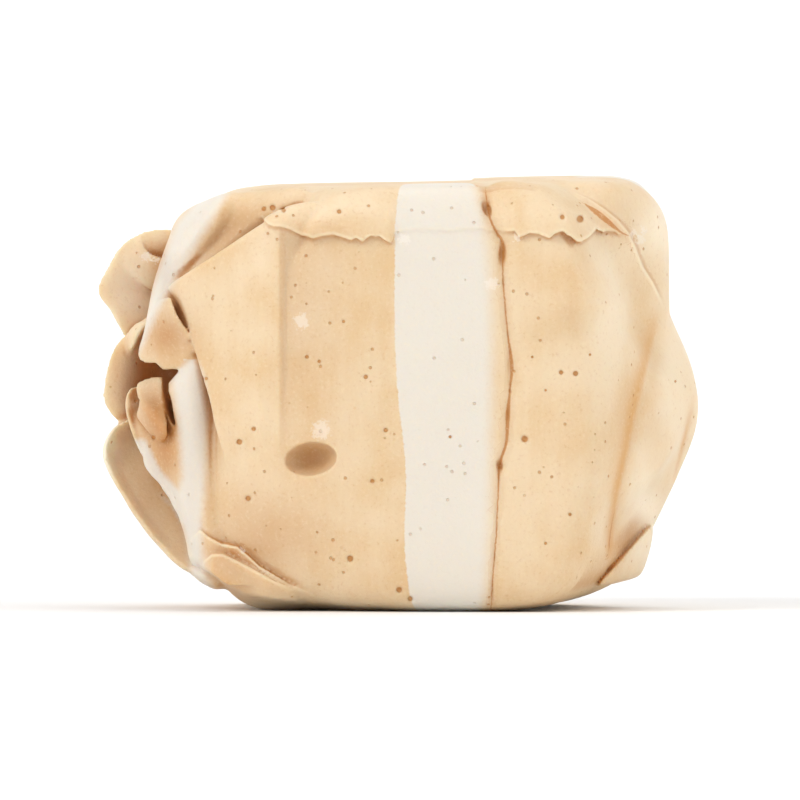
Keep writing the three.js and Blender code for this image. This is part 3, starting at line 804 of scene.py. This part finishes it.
def pressed_creases(field):
    """Sinks the two long creases beside the right end."""
    x, y, z = field.x, field.y, field.z
    for crease, depth, left, right in PRESSED_CREASES:
        line = np.array(crease)
        t = np.clip((line[0, 1] - z) / (line[0, 1] - line[-1, 1]), 0, 1)
        ends = smoothstep(0, 0.25, t) * smoothstep(1, 0.85, t)
        off = x - through(line[:, 0], t.ravel()).reshape(t.shape)
        broad = np.where(off < 0, np.exp(-((off / left) ** 2)), np.exp(-((off / right) ** 2)))
        field.d += (depth * broad * ends * smoothstep(0.0, -3.0, y)).astype(np.float32)


def lobe_gap(field):
    """The dark gap between the rolled lobe and the fold beside it."""
    line = [(-10.95, -5.4, 10.3), (-10.85, -5.8, 9.6), (-10.7, -6.2, 8.8), (-10.5, -6.4, 8.3)]
    crevice(field, line, into=(0.1, 1.0, 0.0), depth=1.3, widths=[0.3, 0.4, 0.32, 0.1])


# ---------------------------------------------------------------- the whole candy


HAND_WAVES = {"sizes": (3.4, 3.4, 4.6), "depth": 0.06}
PULL_MARKS = {"sizes": (0.9, 0.9, 2.4), "depth": 0.018}


def cut_level(field):
    """Cuts the candy off level with the floor, and a little above its top face."""
    spare = 0.1
    top = outward(*TOP)
    past_top = top[0] * field.x + top[2] * (field.z - HEART[2]) - TOP_REACH - spare
    field.d = np.maximum(field.d, np.maximum(-field.z, past_top.astype(np.float32)))


def candy_field():
    field = Field()
    pressed_plug(field)
    tip_creases(field)
    pressed_creases(field)
    ridge_fold(field)
    inner_fold(field)
    rolled_lobe(field)
    open_petals(field)
    left_skin(field)
    field.d += HAND_WAVES["depth"] * field.unevenness(HAND_WAVES["sizes"], seed=21)
    field.d += PULL_MARKS["depth"] * field.unevenness(PULL_MARKS["sizes"], seed=22)
    lobe_gap(field)
    front_relief(field)
    low_folds(field)
    open_bubbles(field)
    cut_level(field)
    return field


def to_object(name, points, quads):
    mesh = bpy.data.meshes.new(name)
    mesh.vertices.add(len(points))
    mesh.vertices.foreach_set("co", points.astype(np.float32).ravel())
    mesh.loops.add(quads.size)
    mesh.loops.foreach_set("vertex_index", quads.astype(np.int32).ravel())
    mesh.polygons.add(len(quads))
    mesh.polygons.foreach_set("loop_start", np.arange(0, quads.size, 4, dtype=np.int32))
    mesh.update(calc_edges=True)
    mesh.validate()
    made = bpy.data.objects.new(name, mesh)
    bpy.context.scene.collection.objects.link(made)
    return made


def apply_modifiers(made):
    evaluated = made.evaluated_get(bpy.context.evaluated_depsgraph_get())
    mesh = bpy.data.meshes.new_from_object(evaluated)
    made.modifiers.clear()
    made.data = mesh


def keep_largest(points, quads):
    """Drops the loose crumbs that lie apart from the candy or inside it."""
    label = np.arange(len(points))
    while True:
        low = label[quads].min(axis=1)
        lower = label.copy()
        np.minimum.at(lower, quads.ravel(), np.repeat(low, 4))
        lower = lower[lower]
        if (lower == label).all():
            break
        label = lower
    kept = label == np.bincount(label).argmax()
    renumber = np.cumsum(kept) - 1
    return points[kept], renumber[quads[kept[quads[:, 0]]]]


def make_candy():
    field = candy_field()
    points, quads = keep_largest(*field.surface())
    candy = to_object("butterscotch_taffy", (points + TO_HEART) * MM, quads)
    thin = candy.modifiers.new("thin_out", "DECIMATE")
    thin.ratio = min(1.0, MOST_TRIANGLES / (2 * len(quads)))
    apply_modifiers(candy)
    candy.data.shade_smooth()
    paint_masks(candy, field)
    return candy


# ---------------------------------------------------------------- where the candy is white

# The left and right border of the front's white stripe: x at even heights, from the bottom up.
WHITE_LEFT = [0.05, -0.15, -0.1, -0.45, -0.6, -0.6, -0.6]
WHITE_RIGHT = [3.55, 3.65, 3.7, 3.75, 3.8, 3.75, 3.6, 3.3]
STRIPE_DEPTH = 4.6  # how deep it runs into the candy
STRIPE_TAPER = 0.9  # how much each border draws in over that depth
FAR_STRIPES = (  # bearing, width, how far out the surface is there, depth
    (102, 3.2, 11.6, 3.8),
    (172, 4.2, 10.3, 4.0),
)
LEFT_BAND = [  # height, left and right border of the white on the left folds
    (1.0, -9.9, -8.9), (2.0, -9.9, -9.2), (3.0, -10.0, -9.3), (4.1, -10.3, -9.3), (5.0, -10.6, -9.2),
    (6.0, -10.2, -9.15), (7.5, -10.3, -9.05), (8.7, -10.4, -9.0), (9.8, -10.6, -9.1), (10.75, -10.8, -9.3),
    (11.0, -10.2, -9.4), (11.35, -9.9, -9.6), (11.45, -12.5, -12.3), (12.2, -12.1, -11.9),
    (13.5, -11.85, -11.3), (14.8, -11.5, -10.6), (16.1, -11.0, -9.75), (17.4, -10.5, -8.95),
    (18.3, -9.7, -8.45), (18.9, -9.0, -8.1), (19.4, -8.7, -7.9),
]
LEFT_RIM = [(-12.15, 7.3), (-11.6, 6.2), (-11.0, 5.5), (-10.4, 4.9), (-10.0, 4.2)]
RIGHT_SLIVER = [(10.5, 15.9), (10.75, 15.2), (11.1, 14.6)]
FOLDS_BACK = -3.0  # the left folds are white only in front of this depth


def to_line(points, line):
    """The distance of each point to a line through the given ones."""
    along = through(line, np.linspace(0, 1, 24))
    return np.min([np.hypot(*(points - p).T) for p in along], axis=0)


def front_stripe(x, y, z):
    """The wide stripe of the front: how far inside it each point lies, and how soft its border is there."""
    tall = np.clip(z / HEIGHT, 0, 1)
    deep = np.clip((y + HALF_DEPTH) / STRIPE_DEPTH, 0, 1.2)
    from_left = x - (through(WHITE_LEFT, tall) + STRIPE_TAPER * deep)
    from_right = through(WHITE_RIGHT, tall) - STRIPE_TAPER * deep - x
    inside = np.minimum(np.minimum(from_left, from_right), (0.9 - deep) * STRIPE_DEPTH)
    blur = np.where(from_left < from_right, 0.04, 0.5)
    return inside, np.where(deep > 0.3, 0.06, blur)


def far_stripe(x, y, z, bearing, width, reach, depth):
    """A stripe down the right side or the back: it narrows inwards and wavers a little."""
    turn = math.radians(bearing)
    waver = 0.12 * np.sin(z * 0.9 + bearing)
    out = x * math.sin(turn) - y * math.cos(turn)
    aside = np.abs(x * math.cos(turn) + y * math.sin(turn) + waver)
    fullness = np.clip((out - reach + depth) / depth, 0, 1.4)
    half = width / 2 * (0.5 + 0.5 * fullness)
    return np.minimum(half - aside, out - reach + depth)


def white_places(x, y, z):
    """How far each point lies inside the white candy, and how soft that border is."""
    rim_half, sliver_half, sliver_back = 0.42, 0.14, -6.0
    flat = np.stack([x, z], -1)
    band = np.array(LEFT_BAND)
    left, right = (np.interp(z, band[:, 0], band[:, k]) for k in (1, 2))
    on_folds = np.minimum(np.minimum(x - left, right - x), FOLDS_BACK - y)
    on_rim = np.minimum(rim_half - to_line(flat, LEFT_RIM), FOLDS_BACK - y)
    sliver = np.minimum(sliver_half - to_line(flat, RIGHT_SLIVER), sliver_back - y)
    stripes = [front_stripe(x, y, z)]
    stripes += [(far_stripe(x, y, z, *stripe), 0.12) for stripe in FAR_STRIPES]
    stripes += [(on_folds, 0.3), (on_rim, 0.16), (sliver, 0.06)]
    insides = [inside for inside, _ in stripes]
    blurs = [np.broadcast_to(blur, x.shape) for _, blur in stripes]
    return np.max(insides, axis=0), np.choose(np.argmax(insides, axis=0), blurs)


def nearest_seam(x, z, front):
    """How far each point of the front lies beside the nearest seam (less than 0 on one side), and the
    seam's half width there.
    """
    off = np.full(len(x), FAR)
    half = np.full(len(x), -0.1)
    beside, at_once = 0.45, 4000
    for seam in SEAMS:
        seam = through(seam, np.linspace(0, 1, 20 * len(seam)))
        low, high = seam.min(0) - 0.5, seam.max(0) + 0.5
        near = np.nonzero(front & (x > low[0]) & (x < high[0]) & (z > low[1]) & (z < high[1]))[0]
        way = np.gradient(seam[:, :2], axis=0)
        for part in np.array_split(near, max(len(near) // at_once, 1)):
            dx, dz = x[part, None] - seam[:, 0], z[part, None] - seam[:, 1]
            distance = np.hypot(dx, dz)
            nearest = distance.argmin(axis=1)
            rows = np.arange(len(part))
            distance = distance[rows, nearest]
            side = np.sign(way[nearest, 0] * dz[rows, nearest] - way[nearest, 1] * dx[rows, nearest])
            closer = (distance < np.abs(off[part])) & (distance < beside)
            off[part] = np.where(closer, side * distance, off[part])
            half[part] = np.where(closer, seam[nearest, 2], half[part])
    return off, half


def layer_edges(x, y, z, normals):
    """How far each point lies beyond the nearest edge of a layer (less than 0 on the layer), and how
    strongly that edge's painted shadow and painted highlight show.
    """
    facing = smoothstep(-3.0, -4.2, y) * (normals[:, 1] < 0)
    right = smoothstep(12.6, 14.2, z) * smoothstep(4.0, 8.0, x) * smoothstep(19.2, 18.0, z)
    corner = smoothstep(8.4, 9.0, x) * smoothstep(10.2, 9.4, x) * 0.35
    edges = [
        (lip_low(x) - z, value_at(x, LIP_RISE) / 0.3),
        (x - value_at(z, RIGHT_EDGE), right),
        (z - value_at(x, TUCKED_EDGE), value_at(x, TUCKED_RISE) / 0.3),
        (z - value_at(x, FLAP_TOP), value_at(x, FLAP_RISE) / 0.4),
        (z - value_at(x, CORNER_FOLD), corner),
    ]
    offs = [off for off, _ in edges]
    fulls = [np.clip(full, 0, 1) * smoothstep(0.28, 0.18, np.abs(off)) for off, full in edges]
    fulls[3] = fulls[3] * (offs[3] < 0.01)  # the flap has no deeper line past its edge
    best = np.argmax(fulls, axis=0)
    return np.choose(best, offs), np.choose(best, fulls) * facing


CREASE_SHADES = (  # the painted shade along the right side's creases: line, reach to its left and right, strength
    (SIDE_CREASE, 0.45, 0.14, 0.75),
    (SECOND_CREASE, 0.16, 0.12, 0.7),
)


def crease_shade(x, y, z):
    """How strongly each point lies in the painted shade along the soft creases of the right side."""
    glow = np.zeros(len(x))
    for line, left, right, strength in CREASE_SHADES:
        top, low = line[0][1], line[-1][1]
        off = right_of(line, x, z)
        thin = 0.35 + 0.65 * smoothstep(low, top, z)
        across = np.exp(-((off / np.where(off < 0, left * thin, right)) ** 2))
        ends = smoothstep(low - 0.3, low + 0.5, z) * smoothstep(top + 0.6, top - 2.5, z)
        glow = np.maximum(glow, strength * across * ends)
    return glow * smoothstep(-0.5, -2.0, y)


PAINTED_SHADE_AND_LIGHT = [  # painted shade (more than 0) and painted light (less than 0) on the candy: x, height, half width, half height, amount
    (-11.5, 9.0, 0.8, 1.3, 0.75), (-10.9, 7.2, 0.7, 1.4, 0.7), (-10.9, 12.4, 1.1, 1.0, 0.7),
    (-13.1, 10.4, 0.5, 1.8, 0.15), (-11.8, 5.2, 1.2, 2.0, 0.25), (-13.5, 7.2, 0.45, 1.0, -1.2),
    (-12.6, 14.4, 1.2, 1.6, -0.75), (-11.2, 16.7, 0.7, 0.5, -0.6), (-7.9, 2.7, 1.3, 0.3, 0.35),
    (3.52, 18.25, 0.17, 0.4, 0.9), (4.25, 16.2, 0.13, 0.5, 0.9), (4.13, 6.6, 0.12, 0.28, 0.9),
    (4.55, 11.2, 0.1, 0.45, 0.5), (4.48, 8.9, 0.11, 0.35, 0.6), (7.4, 13.7, 0.6, 0.9, 0.14),
    (7.5, 15.4, 0.4, 1.2, 0.08), (-11.2, 15.2, 0.7, 1.7, 0.6), (-9.6, 7.4, 0.5, 3.6, 0.3),
    (-4.4, 6.9, 1.0, 0.62, 0.35), (-8.6, 0.9, 1.6, 0.5, 0.3), (-6.3, 3.4, 2.6, 1.7, 0.36),
    (-8.2, 1.8, 1.6, 1.2, 0.2), (12.3, 8.5, 1.2, 3.0, -0.4), (12.1, 11.8, 1.0, 1.6, -0.4),
    (10.6, 5.6, 0.9, 1.8, -0.35), (11.3, 17.2, 0.9, 1.7, -0.7), (10.6, 2.5, 0.8, 1.0, -0.5),
    (10.8, 4.4, 0.6, 0.8, -0.5), (8.9, 13.6, 1.1, 3.5, -0.35), (6.6, 7.6, 1.8, 3.0, -0.12),
    (-3.4, 18.2, 2.6, 0.5, -0.3), (-6.8, 15.6, 0.8, 1.2, -0.25), (-7.4, 5.4, 1.0, 1.2, 0.1),
]


def painted_shade_and_light_at(x, y, z):
    """How much painted shade (more than 0) and painted light (less than 0) lies on the front at each point.
    """
    shade_and_light = np.zeros(len(x))
    for at_x, at_z, wide, tall, amount in PAINTED_SHADE_AND_LIGHT:
        shade_and_light += amount * np.exp(-(((x - at_x) / wide) ** 2) - ((z - at_z) / tall) ** 2)
    # painted shade in a band to the right of the left corner's ridge
    corner_shade = 0.2
    off = x - CORNER_RIDGE
    beside = smoothstep(-0.05, 0.1, off) * smoothstep(4.8, 0.2, off)
    shade_and_light += corner_shade * beside * smoothstep(4.0, 12.0, z) * smoothstep(17.4, 17.0, z)
    return shade_and_light * smoothstep(3.0, 0.0, y)


def paint_masks(candy, field):
    """Stores what the finish has to know of each point as attributes of the mesh."""
    mesh = candy.data
    count = len(mesh.vertices)
    points = np.empty(count * 3, np.float32)
    normals = np.empty(count * 3, np.float32)
    mesh.vertices.foreach_get("co", points)
    mesh.vertex_normals.foreach_get("vector", normals)
    points = points.reshape(-1, 3) / MM - TO_HEART
    normals = normals.reshape(-1, 3)
    x, y, z = points.T

    reach = 0.6  # how far out the room in front of each point is measured
    # openness, and sunk below, lead the painted shade of the hollows
    openness = np.clip(field.at(points + normals * reach) / reach, 0, 1)
    sideways = np.abs(normals[:, 2]) < 0.98
    sunk = -pressed(PRESSED_FACES, x, y, z, EDGE_SOFTNESS) * sideways
    white, blur = white_places(x, y, z)
    front = (y < -3) & (normals[:, 1] < -0.15)
    seam_off, seam_half = nearest_seam(x, z, front)
    layer_off, layer_full = layer_edges(x, y, z, normals)
    masks = {
        "white": white,
        "blur": blur,
        "openness": openness,
        "sunk": sunk,
        "seam_off": seam_off,
        "seam_half": seam_half,
        "layer_off": layer_off,
        "layer_full": layer_full,
        # glow holds the painted shade along the creases of the right side
        "glow": crease_shade(x, y, z),
        "shade_and_light": painted_shade_and_light_at(x, y, z),
    }
    for name, values in masks.items():
        layer = mesh.attributes.new(name, "FLOAT", "POINT")
        layer.data.foreach_set("value", values.astype(np.float32))


# ---------------------------------------------------------------- finishes


class Wire:
    """A socket of a material's nodes. A sum, difference or product of wires adds a Math node."""

    def __init__(self, finish, socket):
        self.finish = finish
        self.socket = socket

    def __add__(self, other):
        return self.finish.maths("ADD", self, other)

    def __sub__(self, other):
        return self.finish.maths("SUBTRACT", self, other)

    def __rsub__(self, other):
        return self.finish.maths("SUBTRACT", other, self)

    def __mul__(self, other):
        return self.finish.maths("MULTIPLY", self, other)

    __radd__ = __add__
    __rmul__ = __mul__


class Finish:
    """One material and its nodes."""

    def __init__(self, name):
        self.material = bpy.data.materials.new(name)
        self.material.use_nodes = True
        self.tree = self.material.node_tree
        self.tree.nodes.clear()

    @classmethod
    def of(cls, tree):
        """The same tools for a tree of nodes that is there already."""
        made = cls.__new__(cls)
        made.tree = tree
        tree.nodes.clear()
        return made

    def node(self, kind, settings=None, sockets=None, out=0):
        """Adds a node with its settings and the values or wires of its sockets, and gives an output."""
        made = self.tree.nodes.new(kind)
        for name, value in (settings or {}).items():
            setattr(made, name, value)
        for name, value in (sockets or {}).items():
            if isinstance(value, Wire):
                self.tree.links.new(value.socket, made.inputs[name])
            else:
                made.inputs[name].default_value = value
        return Wire(self, made.outputs[out]) if made.outputs else None

    def attribute(self, name):
        return self.node("ShaderNodeAttribute", {"attribute_name": name}, out="Fac")

    def between(self, value, start, end):
        """0 below start and 1 above end, smooth in between. start and end may be wires."""
        settings = {"interpolation_type": "SMOOTHSTEP", "clamp": True}
        return self.node("ShaderNodeMapRange", settings, {0: value, 1: start, 2: end, 3: 0.0, 4: 1.0})

    def mix(self, factor, first, second):
        settings = {"data_type": "RGBA", "clamp_factor": True}
        return self.node("ShaderNodeMix", settings, {0: factor, 6: first, 7: second}, out=2)

    def noise(self, where, scale, detail, roughness=0.5):
        sockets = {"Vector": where, "Scale": scale, "Detail": detail, "Roughness": roughness}
        return self.node("ShaderNodeTexNoise", None, sockets)

    def maths(self, operation, *values):
        return self.node("ShaderNodeMath", {"operation": operation}, dict(enumerate(values)))

    def vector(self, operation, sockets, out=0):
        return self.node("ShaderNodeVectorMath", {"operation": operation}, sockets, out)

    def principled(self, sockets):
        shader = self.node("ShaderNodeBsdfPrincipled", None, sockets)
        self.node("ShaderNodeOutputMaterial", None, {"Surface": shader})
        return self.material


def rgb(red, green, blue):
    """A colour given as on a screen, from 0 to 255, as the renderer's own. None here is nearly black."""
    linear = [((c / 255 + 0.055) / 1.055) ** 2.4 for c in (red, green, blue)]
    return (*linear, 1.0)


TAN = rgb(230, 206, 171)
TAN_WARM = rgb(223, 191, 147)
# the deep tan serves painted shade and painted shadow, and the darker specks of the grain
TAN_DEEP = rgb(188, 127, 64)
CREAM = rgb(228, 221, 209)
PIT_SHADE_TAN = rgb(194, 132, 62)
SEAM_SHADE_BROWN = rgb(190, 124, 54)
CREASE_SHADE_TAN = rgb(212, 156, 88)
HOLLOW_SHADE_TAN = rgb(182, 118, 50)
# pale colour of the painted highlight on layer edges, and of the pale specks of the grain
RIM_HIGHLIGHT_AND_PALE_GRAIN = rgb(242, 224, 192)
PAINTED_LIGHT_TAN = rgb(250, 238, 214)
SHADED_CREAM = rgb(196, 184, 170)
FLECK_AND_GLINT = rgb(244, 236, 224)
FLOOR_WHITE = rgb(250, 250, 250)
FLECKS_AND_GLINTS = [  # x, height, radius of the pale waxy flecks on the front; the two on the upper left leaf are painted glints on its crease
    (3.8, 14.8, 0.32), (-4.8, 13.1, 0.36), (-3.9, 8.2, 0.45), (10.2, 17.0, 0.16), (10.5, 16.75, 0.2),
    (10.65, 17.2, 0.14), (-0.2, 16.8, 0.25), (-7.5, 2.75, 0.14), (4.9, 16.85, 0.16), (-11.9, 15.9, 0.24),
    (-11.4, 15.75, 0.16),
]


def front_spots(finish, place, spots, rough=0.0):
    """1 in round spots of the front. rough makes their borders uneven."""
    fade_start, fade_end = 1.15, 0.7  # of their radius
    flat = finish.vector("MULTIPLY", {0: place, 1: (1.0, 0.0, 1.0)})
    found = 0
    for x, z, radius in spots:
        apart = finish.vector("DISTANCE", {0: flat, 1: (x + HEART_X, 0.0, z)}, out="Value")
        found = found + finish.between(apart + rough, radius * fade_start, radius * fade_end)
    depth = finish.node("ShaderNodeSeparateXYZ", None, {0: place}, out="Y")
    return found * finish.between(depth, 2.0, 1.5)


def fine_pits(finish, place):
    """1 in tiny round pits, scattered by a lottery over even cells."""
    cells = {"Vector": place, "Scale": 1.7}  # cells a millimetre
    apart = finish.node("ShaderNodeTexVoronoi", None, cells)
    lottery = finish.node("ShaderNodeTexVoronoi", None, cells, out="Color")
    lottery = finish.node("ShaderNodeSeparateColor", None, {0: lottery})
    return finish.between(apart, 0.15, 0.08) * finish.between(lottery, 0.52, 0.57)


def white_share(finish, grain, streaks):
    """1 in the white candy and 0 in the tan, with a slightly uneven border."""
    inside = finish.attribute("white") + (grain - 0.5) * 0.16 + (streaks - 0.5) * 0.1
    blur = finish.attribute("blur")
    return finish.between(inside, 0 - blur, blur)


def candy_colours(finish, place, streaks, white, shade_and_light):
    """Cloudy tan and cream, with painted shade and painted light where that mask says."""
    clouds = finish.noise(place, scale=0.3, detail=2.0) * 0.8 + streaks * 0.2
    tan = finish.mix(finish.between(clouds, 0.36, 0.66), TAN, TAN_WARM)
    # painted shade and painted light on the tan, then painted shade on the cream
    tan = finish.mix(shade_and_light, tan, TAN_DEEP)
    tan = finish.mix(0 - shade_and_light, tan, PAINTED_LIGHT_TAN)
    cream = finish.mix(shade_and_light, CREAM, SHADED_CREAM)
    return finish.mix(white * 0.94, tan, cream)


def painted_hollow_shade(finish, colour, white, shade_and_light, openness):
    """Paints shade where the candy lies closed in, or far below the plug's form."""
    closed = 1 - finish.between(openness, 0.05, 0.8)
    sunk = finish.between(finish.attribute("sunk"), 0.15, 2.4)
    hollow = finish.maths("MAXIMUM", closed * 0.85, sunk) * (0.9 - white * 0.5)
    return finish.mix(hollow * finish.between(0 - shade_and_light, 1.0, 0.0), colour, HOLLOW_SHADE_TAN)


def painted_edge_shadows_and_highlights(finish, colour, white):
    """Painted shadow past each layer's edge, painted highlight on it, painted shade along the long creases.
    """
    off = finish.attribute("layer_off")
    full = finish.attribute("layer_full")
    reach = 0.24
    # painted shadow just past each layer's edge
    beyond = finish.between(off, reach, 0.03) * finish.between(off, -0.05, 0.02) * full
    colour = finish.mix(beyond * (0.42 - white * 0.34), colour, TAN_DEEP)
    # painted shade along the long creases
    colour = finish.mix(finish.attribute("glow"), colour, CREASE_SHADE_TAN)
    # painted highlight along the edge itself
    rim = finish.between(off, 0.0, -0.06) * finish.between(off, -reach, -0.06) * full
    return finish.mix(rim * 0.6, colour, RIM_HIGHLIGHT_AND_PALE_GRAIN)


def painted_seam_shade(finish, colour, grain):
    """A line of painted shade along each seam, uneven in width, in a faint border of painted shade."""
    half = finish.attribute("seam_half")
    apart = finish.maths("ABSOLUTE", finish.attribute("seam_off") + (grain - 0.5) * 0.06)
    inside = half * (0.6 + grain * 0.8) - apart
    border = finish.between(inside, -0.45, 0.0) * finish.between(half, 0.0, 0.02)
    colour = finish.mix(border * 0.16, colour, TAN_DEEP)
    return finish.mix(finish.between(inside, -0.025, 0.02) * 0.8, colour, SEAM_SHADE_BROWN)


def candy_finish():
    finish = Finish("butterscotch_and_cream_taffy")
    place = finish.vector("SCALE", {0: finish.node("ShaderNodeTexCoord", out="Object"), "Scale": 1 / MM})
    pulled = finish.node("ShaderNodeMapping", None, {0: place, "Scale": PULL})
    grain = finish.noise(place, scale=6.0, detail=3.0, roughness=0.65)
    streaks = finish.noise(pulled, scale=1.8, detail=4.0, roughness=0.6)
    openness = finish.attribute("openness")
    shade_and_light = finish.attribute("shade_and_light")
    white = white_share(finish, grain, streaks)
    pit = fine_pits(finish, place)
    big_pit = front_spots(finish, place, PITS)
    fleck = front_spots(finish, place, FLECKS_AND_GLINTS, (grain - 0.5) * 0.9)

    colour = candy_colours(finish, place, streaks, white, shade_and_light)
    colour = painted_hollow_shade(finish, colour, white, shade_and_light, openness)
    colour = painted_edge_shadows_and_highlights(finish, colour, white)
    colour = painted_seam_shade(finish, colour, grain)
    # painted shade in the fine pits and in the larger ones
    colour = finish.mix(pit * (0.6 - white * 0.35), colour, PIT_SHADE_TAN)
    colour = finish.mix(big_pit * 0.85, colour, PIT_SHADE_TAN)
    # pale flecks, and painted glints on the upper left leaf's crease
    colour = finish.mix(fleck * 0.45, colour, FLECK_AND_GLINT)
    colour = finish.mix(finish.between(grain, 0.52, 0.72) * 0.2, colour, RIM_HIGHLIGHT_AND_PALE_GRAIN)
    colour = finish.mix(finish.between(grain, 0.45, 0.25) * (0.2 - white * 0.15), colour, TAN_DEEP)

    height = grain * 0.025 + streaks * 0.012 - pit * 0.05 - big_pit * 0.04
    return finish.principled({
        "Base Color": colour,
        "Roughness": 0.46 + (grain - 0.5) * 0.25 + (1 - openness) * 0.1,
        "Normal": finish.node("ShaderNodeBump", None, {"Height": height, "Distance": MM, "Strength": 1.0}),
        "IOR": 1.46,
        "Subsurface Weight": 0.35,
        "Subsurface Radius": (1.0, 0.62, 0.34),
        "Subsurface Scale": 0.9 * MM,
        "Specular IOR Level": 0.35,
    })


# ---------------------------------------------------------------- studio


VIEW_DISTANCE = 1.5  # metres
VIEW_WIDTH = 36.3 * MM  # what the view takes in, across
VIEW_HEIGHT = 9.4 * MM  # the middle of the view
VIEW_LIFT = 0.9  # degrees above the horizon
SENSOR = 36.0
VIEW_REACH = 60  # metres that the camera sees
LIT_AT = 10 * MM  # the height that the lights point at
LIGHTS = (  # name, where it shines from, how wide it is in degrees, strength
    ("key", (-0.75, -0.65, 0.75), 30, 1.28),
    ("right", (0.9, -0.5, 0.6), 45, 0.95),
    ("top", (0.1, 0.25, 1.0), 60, 0.8),
)
AIR_LIGHT = 0.5  # how bright the air lights the candy, where the eye sees it white
COVE = [(0.0, 0.0), (3.0, 0.0), (4.0, 0.12), (4.7, 0.6), (5.0, 1.4), (5.05, 2.4)]  # metres out, metres up


def look_at(made, target):
    way = Vector(target) - made.location
    made.rotation_euler = way.to_track_quat("-Z", "Y").to_euler()


def cove():
    """A round floor that curves up into a wall far away, so that the background is even from every side."""
    around, up = 96, 48
    turns = np.linspace(0, 2 * math.pi, around, endpoint=False)
    profile = through(COVE, np.linspace(0, 1, up))
    rings = [[(r * math.cos(t), r * math.sin(t), h) for t in turns] for r, h in profile[1:]]
    points = np.array([(0, 0, 0)] + [p for ring in rings for p in ring])
    index = 1 + np.arange(len(rings) * len(turns)).reshape(len(rings), len(turns))
    ahead = np.roll(index, -1, axis=1)
    sides = np.stack([index[:-1], index[1:], ahead[1:], ahead[:-1]], -1).reshape(-1, 4)
    mesh = bpy.data.meshes.new("floor")
    hub = [(0, int(a), int(b)) for a, b in zip(index[0], ahead[0])]
    mesh.from_pydata(points.tolist(), [], hub + sides.tolist())
    mesh.shade_smooth()
    mesh.materials.append(Finish("pale_floor").principled({"Base Color": FLOOR_WHITE, "Roughness": 0.7}))
    floor = bpy.data.objects.new("floor", mesh)
    bpy.context.scene.collection.objects.link(floor)
    return floor


def pale_air():
    """A world that is white to the eye, and lights the candy more softly than that."""
    world = bpy.data.worlds.new("studio")
    bpy.context.scene.world = world
    world.use_nodes = True
    backdrop = Finish.of(world.node_tree)
    seen = backdrop.node("ShaderNodeLightPath", out="Is Camera Ray")
    strength = seen * (1 - AIR_LIGHT) + AIR_LIGHT
    glow = backdrop.node("ShaderNodeBackground", None, {"Color": (1, 1, 1, 1), "Strength": strength})
    backdrop.node("ShaderNodeOutputWorld", None, {"Surface": glow})


def soft_lights():
    for name, place, spread, strength in LIGHTS:
        light = bpy.data.lights.new(name, "SUN")
        light.angle = math.radians(spread)
        light.energy = strength
        lamp = bpy.data.objects.new(name, light)
        lamp.location = place
        bpy.context.scene.collection.objects.link(lamp)
        look_at(lamp, (0, 0, LIT_AT))


def view():
    camera = bpy.data.cameras.new("camera")
    camera.sensor_width = SENSOR
    camera.lens = SENSOR * VIEW_DISTANCE / VIEW_WIDTH
    camera.clip_end = VIEW_REACH
    eye = bpy.data.objects.new("camera", camera)
    bpy.context.scene.collection.objects.link(eye)
    target = np.array([0.0, 0.0, VIEW_HEIGHT])
    lift = math.radians(VIEW_LIFT)
    eye.location = target + VIEW_DISTANCE * np.array([0, -math.cos(lift), math.sin(lift)])
    look_at(eye, target)
    bpy.context.scene.camera = eye


def studio():
    floor = cove()
    pale_air()
    soft_lights()
    view()
    bpy.context.scene.view_settings.view_transform = "Standard"


candy = make_candy()
candy.data.materials.append(candy_finish())
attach(candy, "root")
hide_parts("taffy_body", "white_stripe_front", "white_stripe_left", "white_stripe_right", "white_stripe_back")
studio()
